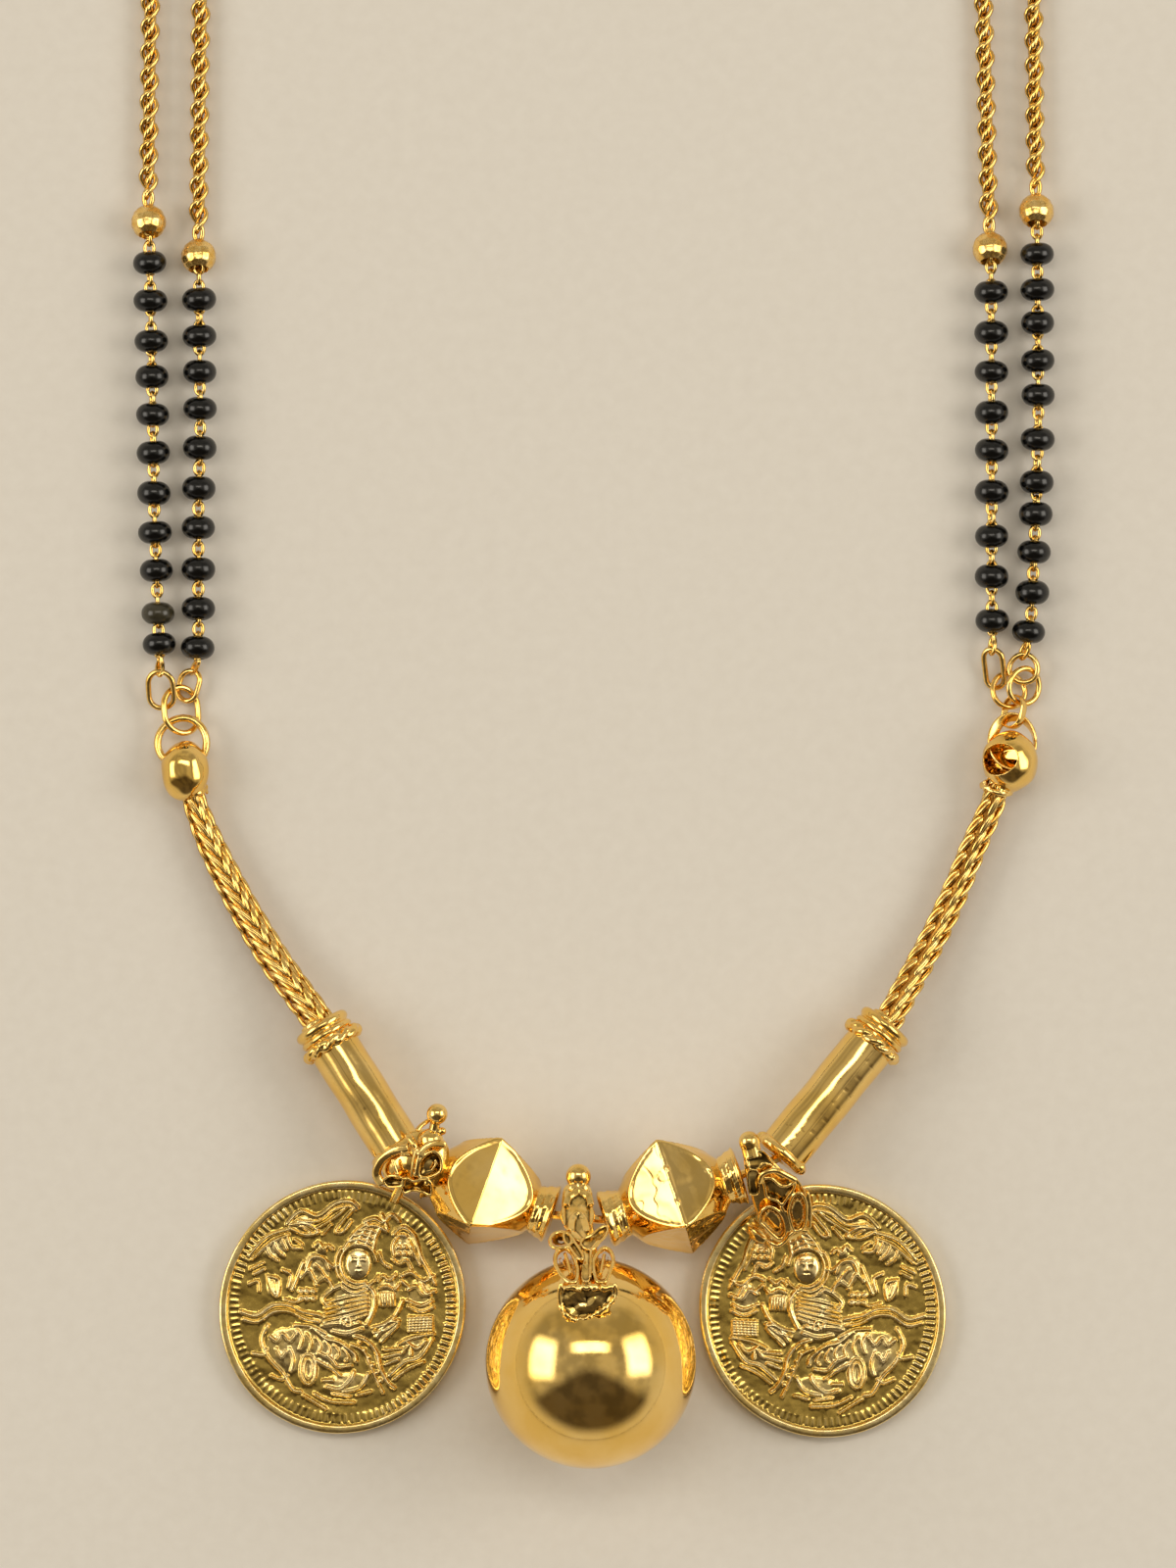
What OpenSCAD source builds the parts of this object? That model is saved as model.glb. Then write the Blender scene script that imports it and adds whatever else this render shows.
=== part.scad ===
// Mangalsutra laid flat: a doubled neck chain with black beads, a ball pendant and two coin pendants.
// Millimetres, +Z up from the surface it lies on, +Y towards the clasp, origin under the middle of the loop.
// A place is given as x, h and z, where h runs up the loop from the lower edge of the ball.

/* [Loop] */
// Length of the laid-out loop, from the ball's lower edge to the back of the neck
overall_l = 291; // [285:1:320]
// Half the width between the two outer chains
outer_r = 36; // [35.8:0.1:36.4]
// Half the width between the two inner chains
inner_r = 31.9; // [31.7:0.1:32.1]

/* [Wheat chains] */
// Thickness of the long wheat chains
wheat_d = 1.6; // [1.4:0.1:1.8]

/* [Black beads] */
// Width of a black bead across its hole
black_w = 2.74; // [2.5:0.02:2.9]
// Height of a black bead along its hole
black_h = 1.9; // [1.7:0.05:2.1]
// Hole through a black bead
black_hole = 1.16; // [1.0:0.02:1.3]
// Thickness of the fine link chain that carries the beads
link_d = 0.84; // [0.7:0.02:0.9]

/* [Gold beads] */
// Diameter of a dimpled gold bead
gold_d = 2.84; // [2.6:0.02:3.0]

/* [Caps and rings] */
// Wall of the end caps
cap_wall = 0.4; // [0.3:0.05:0.5]
// Wire of the heavy rings through the caps
cap_ring_wire = 0.56; // [0.4:0.02:0.6]
// Wire of the jump rings
jump_wire = 0.44; // [0.3:0.02:0.46]

/* [Tube beads] */
// Diameter of the tubes
tube_d = 4.2; // [4.0:0.1:4.4]
// Diameter over the twisted-rope ring
rope_ring_d = 5.6; // [5.2:0.1:5.6]
// Diameter over the ring at the inner end
foot_ring_d = 5.1; // [4.8:0.1:5.2]

/* [Faceted beads] */
// Greatest radius, at the four corners
facet_corner_r = 5.5; // [5.3:0.1:5.6]
// Distance from the axis to the ridge of an almond panel
facet_ridge_r = 3.85; // [3.7:0.05:4.0]
// Diameter of the flared collars
flare_d = 4.8; // [4.4:0.1:4.9]

/* [Pendants] */
// Diameter of the ball
ball_d = 17.12; // [16.9:0.02:17.2]
// Wall of the hollow ball
ball_wall = 0.5; // [0.4:0.1:0.8]
// Width of a coin
coin_w = 20; // [19.6:0.1:20.2]
// Length of a coin, from its bail down
coin_l = 20.8; // [20.4:0.1:21]
// Thickness of a coin's field
coin_t = 1.1; // [0.9:0.1:1.2]
// Width of a coin's raised rim
rim_w = 0.8; // [0.6:0.1:1]
// Height of the rim above the field
rim_h = 0.3; // [0.2:0.05:0.35]

/* [Stringing] */
// Thickness of the wire through tubes, bails and faceted beads
wire_d = 0.7; // [0.6:0.05:0.8]
// Holes for that wire
wire_hole = 1.3; // [1.2:0.05:1.4]

/* [Hidden] */
$fn = 64;

function at(x, h, z) = [x, h - overall_l / 2, z];
function route(rows) = [for (p = rows) at(p[0], p[1], p[2])];
function unit(v) = v / norm(v);

gold = "#d9a638";
gold_pale = "#c9a24a";
black = "#141414";

// Points along the stringing wire, left to right: outer end and inner end of each tube, bail, and bead collars
tube_left_top = at(-22.2, 36.1, 2.85);
tube_left_foot = at(-15.5, 25.4, 3.8);
bail_left = at(-14.5, 24.7, 4.1);
bead_left_start = at(-13.4, 24.1, 4.4);
bead_left_end = at(-3.1, 20.5, 4.85);
bail_mid = at(-1.1, 20.3, 4.95);
bead_right_start = at(0.9, 20.1, 5.05);
bead_right_end = at(12.2, 23.8, 4.8);
bail_right = at(13.6, 24.4, 4.4);
tube_right_foot = at(15.1, 25.1, 4);
tube_right_top = at(24.1, 36.1, 2.85);

// Rings that hang through each other: x, h, z, turn about X, Y and Z, half width, half length, wire
left_cap_ring_row = [-33.4, 58.95, 1.5, -5, -4, 0, 2, 2, cap_ring_wire];
left_joining_row = [-33.5, 61.6, 1.1, -10, 29, 0, 1.55, 1.9, jump_wire];
left_outer_row = [-35.15, 63.25, 1.5, 17, -13, 0, 1.05, 1.55, jump_wire];
left_inner_row = [-32.9, 63.6, 0.55, -2, -22, -15, 0.85, 1.25, jump_wire];
right_cap_ring_row = [34.4, 59, 1.95, -12, 8, 0, 1.75, 2.1, cap_ring_wire];
right_band_row = [34.4, 61.45, 1.4, -16, -43, 0, 1, 1.35, jump_wire];
right_joining_row = [34, 63.2, 0.8, -13, 20, 0, 1.4, 1.4, jump_wire];
right_front_row = [35.25, 63.55, 1.25, 5, 32, 0, 1.45, 1.45, jump_wire];
right_outer_row = [35.2, 65, 1.25, -1, -4, 0, 1.15, 1.15, jump_wire];
right_inner_row = [32.8, 65, 1.05, 18, -21, 0, 0.8, 1.65, jump_wire];

// Caps: centre of the round part, and middle of the mouth
cap_left_centre = at(-33.2, 57.05, 1.98);
cap_left_mouth = at(-32.4, 54.3, 1.65);
cap_right_centre = at(34.1, 57.5, 2.32);
cap_right_mouth = at(32.7, 54.6, 1.78);

// Woven chains: x, h, z, radius
left_woven_rows = [
    [-32.8, 55.8, 1.8, 0.95], [-32.3, 53.8, 1.5, 1], [-31, 50.6, 1.3, 1.15], [-29.1, 46.8, 1.35, 1.28],
    [-27.3, 43.6, 1.5, 1.35], [-25.4, 40.6, 1.95, 1.38], [-23.5, 38, 2.6, 1.38], [-22.4, 36.5, 2.83, 1.38]
];
right_woven_rows = [
    [33.1, 55.5, 1.95, 0.95], [32.6, 53.8, 1.62, 1.1], [31.2, 50.6, 1.38, 1.25], [29.9, 47.4, 1.34, 1.28],
    [28.5, 44.3, 1.45, 1.3], [27, 41.4, 1.85, 1.32], [25.3, 38.3, 2.55, 1.34], [24.3, 36.5, 2.83, 1.34]
];

// Fine link chains from above the gold bead down to the rings: x, h, z
left_outer_links = [[-36.2, 102.9, 1.5], [-36.1, 99.5, 1.4], [-35.85, 87.2, 1.38], [-35.7, 77.7, 1.38],
    [-35.35, 68.25, 1.38], [-35.2, 65.2, 1.45]];
left_inner_links = [[-32.1, 100.1, 1.5], [-32.05, 96.6, 1.4], [-31.95, 84.6, 1.38], [-32.1, 78.1, 1.38],
    [-32.1, 68.3, 1.38], [-32.2, 65.3, 1.38]];
right_inner_links = [[32.4, 100.7, 1.5], [32.55, 97.2, 1.4], [32.6, 84.3, 1.38], [32.6, 70.6, 1.38],
    [32.7, 67, 1.45]];
right_outer_links = [[36.2, 103.8, 1.5], [36.3, 100.3, 1.4], [36.4, 85.4, 1.38], [36.25, 78.9, 1.38],
    [35.85, 69.6, 1.38], [35.4, 66.6, 1.38]];

// Heights h of the black beads on each strand, as they lie
left_outer_black_h = [98.1, 95, 91.7, 88.8, 85.7, 82.6, 79.3, 76.1, 73, 69.5, 67];
left_inner_black_h = [95.1, 92.1, 89.2, 86.2, 83, 79.7, 76.5, 73.1, 69.9, 66.7];
right_inner_black_h = [95.7, 92.4, 89.2, 85.9, 82.8, 79.4, 75.8, 72.5, 68.9];
right_outer_black_h = [98.8, 95.9, 93.2, 90.1, 87.3, 83.7, 80.2, 77.6, 74.5, 71.2, 68];

// Heights h of the gold beads
left_outer_gold_h = 101.4;
left_inner_gold_h = 98.6;
right_inner_gold_h = 99.2;
right_outer_gold_h = 102.3;

// The back of the neck: both chains of a side bend round and meet in one end ring
end_ring_r = 2.1;
end_ring_wire = 0.7;
end_ring_x = 4.1;
end_ring_tilt = 20;
end_ring_h = overall_l - end_ring_r * cos(end_ring_tilt) - end_ring_wire / 2;
back_h = end_ring_h - 33.5;
back_turn = 72;
back_steps = 6;
clasp_r = 1.7;
clasp_wire = 0.9;
clasp_tilt = -17;
clasp_z = 1.15;

// Route of a wheat chain: straight up from its gold bead, round the back, into the end ring
function wheat_route(side, foot_x, foot_h, r, end_dy) = route(concat(
    [[side * foot_x, foot_h, wheat_d / 2 + 0.1], [side * r, 122, wheat_d / 2], [side * r, 190, wheat_d / 2]],
    [for (i = [0 : back_steps]) let (a = back_turn * i / back_steps)
        [side * r * cos(a), back_h + r * sin(a), wheat_d / 2]],
    [[side * (end_ring_x + end_ring_r + 0.6), end_ring_h + end_dy, wheat_d / 2 + 0.1]]));

// A tube swept along points p with radius r at each point
tube_sides = 8;
function tangent(p, i) = let (n = len(p) - 1)
    i == 0 ? unit(p[1] - p[0]) : i == n ? unit(p[n] - p[n - 1]) :
    unit(unit(p[i + 1] - p[i]) + unit(p[i] - p[i - 1]));
function tube_ring(p, r, i) = let (t = tangent(p, i), s = unit(cross(t, [0, 0, 1])), u = cross(s, t))
    [for (k = [0 : tube_sides - 1]) let (a = 360 * k / tube_sides) p[i] + r[i] * (cos(a) * s + sin(a) * u)];

module tube(p, r) {
    n = len(p);
    s = tube_sides;
    points = [for (i = [0 : n - 1]) each tube_ring(p, r, i)];
    walls = [for (i = [0 : n - 2], k = [0 : s - 1]) let (m = (k + 1) % s)
        [i * s + k, i * s + m, (i + 1) * s + m, (i + 1) * s + k]];
    start = [for (k = [0 : s - 1]) s - 1 - k];
    finish = [for (k = [0 : s - 1]) (n - 1) * s + k];
    polyhedron(points, concat(walls, [start, finish]));
}

module even_tube(p, d) {
    tube(p, [for (i = p) d / 2]);
}

// Stands children up from a, with +Z pointing to b
module along(a, b) {
    v = b - a;
    translate(a) rotate([0, acos(v[2] / norm(v)), atan2(v[1], v[0])]) children();
}

module torus(r, wire_r) {
    rotate_extrude() translate([r, 0]) circle(wire_r);
}

// Oval ring of round wire lying in XY, long way along Y
module oval_ring(half_w, half_l, wire_r) {
    straight = half_l - half_w;
    for (m = [0, 1]) mirror([0, m, 0]) translate([0, straight, 0])
        rotate_extrude(angle = 180) translate([half_w, 0]) circle(wire_r);
    if (straight > 0)
        for (x = [-half_w, half_w]) translate([x, -straight, 0]) rotate([-90, 0, 0])
            cylinder(h = 2 * straight, r = wire_r);
}

module ring_at(row, spare = 0) {
    translate(at(row[0], row[1], row[2])) rotate([row[3], row[4], row[5]])
        oval_ring(row[6], row[7], row[8] / 2 + spare);
}

// Pointed leaf with its base at the origin, growing along +Y
module leaf(l, w, t) {
    r = (l * l / 4 + w * w / 4) / w;
    translate([0, l / 2, 0]) linear_extrude(t) intersection() {
        translate([r - w / 2, 0]) circle(r);
        translate([w / 2 - r, 0]) circle(r);
    }
}

// Fan of leaves in XY, spread evenly about +Y, with their bases set apart round the origin
module leaf_fan(count, spread, l, w, t) {
    for (i = [0 : count - 1]) rotate([0, 0, spread * (i / (count - 1) - 0.5)])
        translate([0, 0.7, 0]) leaf(l, w, t);
}

// Barrel of a bail round the stringing wire, from a to b
module bail_barrel(a, b, r, l) {
    v = unit(b - a);
    mid = (a + b) / 2;
    along(mid - v * l / 2, mid + v * l / 2) cylinder(h = l, r = r);
}

module wire_way(a, b) {
    v = unit(b - a);
    reach = 3;
    along(a - v * reach, b + v * reach) cylinder(h = norm(b - a) + 2 * reach, d = wire_hole);
}

// Turned knob of a bail: stalk from a to b, with a ring part of the way and a round head on b
module knob(a, b, r) {
    h = norm(b - a);
    along(a, b) rotate_extrude() {
        square([0.6 * r, h]);
        for (part = [[0.6 * h, 1.15 * r], [h, r]]) translate([0, part[0]]) intersection() {
            circle(part[1]);
            translate([0, -part[1]]) square([part[1], 2 * part[1]]);
        }
    }
}

// Ball pendant: hollow ball, leafy bail soldered on its shoulder, domed finial
ball_centre = at(-0.1, ball_d / 2, ball_d / 2);
shoulder_tilt = 54.2;
plate_gap = 0.45;
plate_t = 0.8;
mid_bail_r = 1.9;
mid_bail_l = 1.9;
mid_finial = at(-1.1, 23.8, 6.6);
module ball_pendant() color(gold) difference() {
    union() {
        translate(ball_centre) sphere(d = ball_d);
        bail_barrel(bead_left_end, bead_right_start, mid_bail_r, mid_bail_l);
        // Solder foot on the shoulder, and the leaf plate from there to the barrel
        translate(ball_centre + [-0.9, 0, 0]) rotate([-shoulder_tilt, 0, 0]) {
            translate([0, 0, ball_d / 2 - 0.4]) cylinder(h = 0.4 + plate_gap + plate_t / 2, r = 1.4);
            translate([-0.8, 0, ball_d / 2 + plate_gap]) cube([1.6, 9.2, plate_t]);
            translate([0, -1, ball_d / 2 + plate_gap + 0.1]) leaf_fan(3, 56, 6.2, 2.5, plate_t);
        }
        // Knot and domed finial above the barrel
        knob(bail_mid, mid_finial, 1);
    }
    translate(ball_centre) sphere(d = ball_d - 2 * ball_wall);
    wire_way(bead_left_end, bead_right_start);
}

// Struck coin with a raised rim and a plain back
oval_points = 72;
function oval(w, l) = [for (i = [0 : oval_points - 1]) let (a = 360 * i / oval_points)
    [w / 2 * cos(a), l / 2 * sin(a)]];
module coin() {
    linear_extrude(coin_t) polygon(oval(coin_w, coin_l));
    linear_extrude(coin_t + rim_h) difference() {
        polygon(oval(coin_w, coin_l));
        polygon(oval(coin_w - 2 * rim_w, coin_l - 2 * rim_w));
    }
}

coin_bail_r = 1.3;
coin_left = at(-20.34, 12.92, 0);
coin_right = at(18.8, 12.6, 0);
coin_turn = 25;
left_finial = at(-12.6, 28.8, 7.8);
module left_coin_pendant() color(gold_pale) difference() {
    union() {
        translate(coin_left) rotate([0, 0, -coin_turn]) coin();
        bail_barrel(tube_left_foot, bead_left_start, coin_bail_r, 0.9);
        // Solder neck from the coin's edge to the barrel
        along(at(-16.1, 21.6, 0.9), bail_left) cylinder(h = 4.2, r = 0.6);
        // Leaf ornament on a post over the barrel
        translate(bail_left) cylinder(h = 4, r = 0.8);
        translate(at(-14.5, 25.8, 7.3)) cylinder(h = 1.3, r = 1.8);
        translate(at(-14.5, 26.2, 7.6)) rotate([0, 0, 180 - coin_turn]) leaf_fan(5, 150, 3.2, 1.8, 0.8);
        knob(at(-14.4, 25.8, 8), left_finial, 0.82);
    }
    wire_way(tube_left_foot, bead_left_start);
}

right_finial = at(12.7, 27, 8.1);
module right_coin_pendant() color(gold_pale) difference() {
    union() {
        translate(coin_right) rotate([0, 0, coin_turn]) coin();
        bail_barrel(bead_right_end, tube_right_foot, coin_bail_r, 1.6);
        along(at(14.8, 21.2, 0.9), bail_right) cylinder(h = 4.6, r = 0.6);
        // Post, cap, and the leaves that hang over the coin
        translate(bail_right) cylinder(h = 3.6, r = 0.8);
        translate(at(13.7, 24.9, 7.4)) cylinder(h = 1.1, r = 1.7);
        translate(at(14, 24.6, 7.6)) rotate([-32, 0, 28]) rotate([0, 0, 180]) leaf_fan(3, 50, 6.2, 2.6, 0.9);
        knob(at(13.6, 25, 7.9), right_finial, 0.75);
    }
    wire_way(bead_right_end, tube_right_foot);
}

// Diamond-shaped bead: a double cone cut by four sloping faces on each side, with a flared collar at each end
cone_slope = 0.85;
panel_slope = 0.35;
body_half = 4.2;
module square_bipyramid() {
    outline = [
        [facet_ridge_r, 0], [facet_ridge_r - panel_slope * body_half, body_half],
        [panel_slope * body_half - facet_ridge_r, body_half], [-facet_ridge_r, 0],
        [panel_slope * body_half - facet_ridge_r, -body_half], [facet_ridge_r - panel_slope * body_half, -body_half]
    ];
    intersection_for (turn = [0, 90]) rotate([0, 0, turn]) rotate([90, 0, 0])
        translate([0, 0, -facet_corner_r]) linear_extrude(2 * facet_corner_r) polygon(outline);
}

module faceted_body() {
    intersection() {
        square_bipyramid();
        union() for (m = [0, 1]) mirror([0, 0, m])
            cylinder(h = body_half, r1 = facet_corner_r, r2 = facet_corner_r - cone_slope * body_half);
    }
}

module flare(reach) {
    // Collar from the body's end out to reach
    translate([0, 0, body_half - 0.6]) cylinder(h = reach - body_half + 0.3, r1 = 1.9, r2 = flare_d / 2);
    translate([0, 0, reach - 0.3]) cylinder(h = 0.3, d = flare_d);
}

// Spans from start to end, with the body's equator at distance first from the start
module faceted_bead(start, end, first, spin) {
    total = norm(end - start);
    difference() {
        along(start, end) translate([0, 0, first]) rotate([0, 0, spin]) {
            faceted_body();
            flare(total - first);
            mirror([0, 0, 1]) flare(first);
        }
        wire_way(start, end);
    }
}

module left_faceted_bead() color(gold) faceted_bead(bead_left_start, bead_left_end, 5, -12);
module right_faceted_bead() color(gold) faceted_bead(bead_right_start, bead_right_end, 6.1, -18);

// Tube bead from its inner foot to its outer top, open socket for the woven chain at the top
tube_wall = 0.4;
rope_wire = 0.55;
collar_wire = 0.4;
socket_r = 1.5;
socket_depth = 0.3;
module tube_bead(foot, top) {
    l = norm(top - foot);
    difference() {
        along(foot, top) {
            difference() {
                cylinder(h = l, d = tube_d);
                translate([0, 0, tube_wall]) cylinder(h = l - 2 * tube_wall - socket_depth, r = tube_d / 2 - tube_wall);
                translate([0, 0, l - socket_depth]) cylinder(h = 1, r = socket_r);
            }
            translate([0, 0, 0.5]) torus(foot_ring_d / 2 - 0.5, 0.5);
            translate([0, 0, l - 2]) torus(rope_ring_d / 2 - rope_wire, rope_wire);
            translate([0, 0, l - 0.4]) torus(socket_r + collar_wire, collar_wire);
        }
        wire_way(foot, top);
    }
}

module left_tube_bead() color(gold) tube_bead(tube_left_foot, tube_left_top);
module right_tube_bead() color(gold) tube_bead(tube_right_foot, tube_right_top);

// Hidden wire: its ends stop just short of the woven chains
function short_of(a, b, d) = a + unit(b - a) * d;
module stringing_wire() color(gold) even_tube([
    short_of(tube_left_top, tube_left_foot, 0.2), tube_left_foot, bail_left, bead_left_start, bead_left_end,
    bail_mid, bead_right_start, bead_right_end, bail_right, tube_right_foot,
    short_of(tube_right_top, tube_right_foot, 0.2)
], wire_d);

module left_woven_chain() color(gold) tube(route(left_woven_rows), [for (p = left_woven_rows) p[3]]);
module right_woven_chain() color(gold) tube(route(right_woven_rows), [for (p = right_woven_rows) p[3]]);

// Cap: round shell that narrows to a mouth for the woven chain
module cap_shell(centre, mouth, r, mouth_r) {
    reach = norm(mouth - centre);
    shoulder = 0.35 * r;
    shoulder_r = sqrt(r * r - shoulder * shoulder);
    along(centre, mouth) difference() {
        union() {
            sphere(r);
            translate([0, 0, shoulder]) cylinder(h = reach - shoulder, r1 = shoulder_r, r2 = mouth_r + cap_wall);
        }
        sphere(r - cap_wall);
        translate([0, 0, shoulder]) cylinder(h = reach - shoulder + 0.01, r1 = shoulder_r - cap_wall, r2 = mouth_r);
    }
}

ring_spare = 0.15;
module left_end_cap() color(gold) difference() {
    cap_shell(cap_left_centre, cap_left_mouth, 1.96, 1.18);
    ring_at(left_cap_ring_row, ring_spare);
}
module right_end_cap() color(gold) difference() {
    cap_shell(cap_right_centre, cap_right_mouth, 2.3, 1.28);
    ring_at(right_cap_ring_row, ring_spare);
    // Side window that the ring goes in through
    along(cap_right_centre, cap_right_centre + [-0.7, 0.5, 0.6]) cylinder(h = 4, r = 1.2);
}

module left_cap_ring() color(gold) ring_at(left_cap_ring_row);
module left_joining_ring() color(gold) ring_at(left_joining_row);
module left_outer_ring() color(gold) ring_at(left_outer_row);
module left_inner_ring() color(gold) ring_at(left_inner_row);
module right_cap_ring() color(gold) ring_at(right_cap_ring_row);
module right_band_ring() color(gold) ring_at(right_band_row);
module right_joining_ring() color(gold) ring_at(right_joining_row);
module right_front_ring() color(gold) ring_at(right_front_row);
module right_outer_ring() color(gold) ring_at(right_outer_row);
module right_inner_ring() color(gold) ring_at(right_inner_row);

// Fine link chains as plain tubes
module left_outer_link_chain() color(gold) even_tube(route(left_outer_links), link_d);
module left_inner_link_chain() color(gold) even_tube(route(left_inner_links), link_d);
module right_inner_link_chain() color(gold) even_tube(route(right_inner_links), link_d);
module right_outer_link_chain() color(gold) even_tube(route(right_outer_links), link_d);

// Point of a chain's route at height h, and the direction there
function leg(rows, h) = [for (i = [0 : len(rows) - 2]) if (rows[i][1] >= h && rows[i + 1][1] < h) i][0];
function on_route(rows, h) = let (i = leg(rows, h), f = (rows[i][1] - h) / (rows[i][1] - rows[i + 1][1]))
    rows[i] + f * (rows[i + 1] - rows[i]);

module on_chain(rows, h) {
    i = leg(rows, h);
    p = on_route(rows, h);
    c = at(p[0], p[1], p[2]);
    along(c, c + rows[i] - rows[i + 1]) children();
}

module black_bead() {
    round_r = black_h / 2;
    hole_r = black_hole / 2;
    rotate_extrude() intersection() {
        translate([black_w / 2 - round_r, 0]) circle(round_r);
        translate([hole_r, -round_r]) square([black_w / 2, black_h]);
    }
}

module black_beads(rows, heights) {
    for (h = heights) on_chain(rows, h) black_bead();
}

module gold_bead(rows, h) {
    on_chain(rows, h) difference() {
        sphere(d = gold_d);
        cylinder(h = gold_d + 1, d = black_hole, center = true);
    }
}

module left_outer_black_beads() color(black) black_beads(left_outer_links, left_outer_black_h);
module left_inner_black_beads() color(black) black_beads(left_inner_links, left_inner_black_h);
module right_inner_black_beads() color(black) black_beads(right_inner_links, right_inner_black_h);
module right_outer_black_beads() color(black) black_beads(right_outer_links, right_outer_black_h);
module left_outer_gold_bead() color(gold) gold_bead(left_outer_links, left_outer_gold_h);
module left_inner_gold_bead() color(gold) gold_bead(left_inner_links, left_inner_gold_h);
module right_inner_gold_bead() color(gold) gold_bead(right_inner_links, right_inner_gold_h);
module right_outer_gold_bead() color(gold) gold_bead(right_outer_links, right_outer_gold_h);

module left_outer_wheat_chain() color(gold) even_tube(wheat_route(-1, 36.2, 103.2, outer_r, 0.95), wheat_d);
module left_inner_wheat_chain() color(gold) even_tube(wheat_route(-1, 32.1, 100.4, inner_r, -0.95), wheat_d);
module right_inner_wheat_chain() color(gold) even_tube(wheat_route(1, 32.4, 101, inner_r, -0.95), wheat_d);
module right_outer_wheat_chain() color(gold) even_tube(wheat_route(1, 36.2, 104.1, outer_r, 0.95), wheat_d);

module end_ring(side) {
    translate(at(side * end_ring_x, end_ring_h, clasp_z)) rotate([end_ring_tilt, 0, 0])
        torus(end_ring_r, end_ring_wire / 2);
}
module left_end_ring() color(gold) end_ring(-1);
module right_end_ring() color(gold) end_ring(1);

// Plain S hook through both end rings
module clasp() color(gold) translate(at(0, end_ring_h, clasp_z)) rotate([clasp_tilt, 0, 0]) {
    translate([-clasp_r, 0, 0]) rotate_extrude(angle = 300) translate([clasp_r, 0]) circle(d = clasp_wire);
    translate([clasp_r, 0, 0]) rotate([0, 0, 180])
        rotate_extrude(angle = 300) translate([clasp_r, 0]) circle(d = clasp_wire);
}

ball_pendant();
left_coin_pendant();
right_coin_pendant();
left_faceted_bead();
right_faceted_bead();
left_tube_bead();
right_tube_bead();
stringing_wire();
left_woven_chain();
right_woven_chain();
left_end_cap();
right_end_cap();
left_cap_ring();
left_joining_ring();
left_outer_ring();
left_inner_ring();
right_cap_ring();
right_band_ring();
right_joining_ring();
right_front_ring();
right_outer_ring();
right_inner_ring();
left_outer_link_chain();
left_inner_link_chain();
right_inner_link_chain();
right_outer_link_chain();
left_outer_black_beads();
left_inner_black_beads();
right_inner_black_beads();
right_outer_black_beads();
left_outer_gold_bead();
left_inner_gold_bead();
right_inner_gold_bead();
right_outer_gold_bead();
left_outer_wheat_chain();
left_inner_wheat_chain();
right_inner_wheat_chain();
right_outer_wheat_chain();
left_end_ring();
right_end_ring();
clasp();
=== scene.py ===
import math
import random

import bmesh
import bpy
import numpy as np
from mathutils import Euler, Matrix, Vector, noise


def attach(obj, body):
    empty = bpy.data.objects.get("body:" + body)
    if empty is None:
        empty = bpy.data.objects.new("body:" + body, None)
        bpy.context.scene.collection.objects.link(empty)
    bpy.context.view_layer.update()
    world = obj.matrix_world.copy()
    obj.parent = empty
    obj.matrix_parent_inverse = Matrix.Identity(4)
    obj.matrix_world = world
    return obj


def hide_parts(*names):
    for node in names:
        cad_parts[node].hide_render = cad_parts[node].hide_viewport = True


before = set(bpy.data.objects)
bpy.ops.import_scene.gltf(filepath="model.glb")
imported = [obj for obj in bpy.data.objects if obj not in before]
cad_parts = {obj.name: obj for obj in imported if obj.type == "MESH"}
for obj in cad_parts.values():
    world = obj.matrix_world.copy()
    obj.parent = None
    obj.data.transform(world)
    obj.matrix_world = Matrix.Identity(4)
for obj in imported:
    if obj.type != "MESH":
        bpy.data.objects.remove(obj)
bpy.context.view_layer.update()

# Camera
# It looks straight down on the pendants from well above, as in the photograph.
# The frame shows 96 by 128 mm of the surface that the piece lies on.
MM = 0.001
loop_l = 291
view_l = 128
camera_up = 1500
sensor_l = 36


def at(x, h, z):
    """A place in millimetres: h runs up the loop from the ball's lower edge, z up from the surface."""
    return Vector((x, h - loop_l / 2, z))


view_centre = at(-0.32, 55.58, 0)
lens = bpy.data.cameras.new("camera")
lens.sensor_fit = "VERTICAL"
lens.sensor_height = sensor_l
lens.lens = sensor_l * camera_up / view_l
lens.clip_end = 20
camera = bpy.data.objects.new("camera", lens)
camera.location = (view_centre + Vector((0, 0, camera_up))) * MM
bpy.context.collection.objects.link(camera)
bpy.context.scene.camera = camera

# Floor and light
# A pale paper sweep under two big softboxes, left and right, with a dim strip between them overhead.
# Polished gold shows little but what it reflects, so the room is dim above and bright low down.
floor_side = 3000
floor_drop = 0.02
paper_tooth = 900  # cells of the paper's tooth in a metre


def srgb(code):
    """Linear colour of a hex sRGB value."""
    parts = [int(code[i:i + 2], 16) / 255 for i in (1, 3, 5)]
    return [c / 12.92 if c <= 0.04045 else ((c + 0.055) / 1.055) ** 2.4 for c in parts] + [1]


def add_node(tree, kind, inputs=None, **settings):
    """Adds a node: an input given as another node's output is linked, any other value is set."""
    node = tree.nodes.new("ShaderNode" + kind)
    for key, value in settings.items():
        setattr(node, key, value)
    for key, value in (inputs or {}).items():
        if isinstance(value, bpy.types.NodeSocket):
            tree.links.new(value, node.inputs[key])
        else:
            node.inputs[key].default_value = value
    return node


def new_tree(material):
    """Empties a material's node tree."""
    material.use_nodes = True
    material.node_tree.nodes.clear()
    return material.node_tree


def new_material(name):
    """A material with its empty node tree and its Object coordinates."""
    material = bpy.data.materials.new(name)
    tree = new_tree(material)
    return material, tree, add_node(tree, "TexCoord").outputs["Object"]


def clouds(tree, coords, scale, detail):
    """Noise of so many patches in a unit."""
    return add_node(tree, "TexNoise", {"Vector": coords, "Scale": scale, "Detail": detail}).outputs["Fac"]


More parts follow.
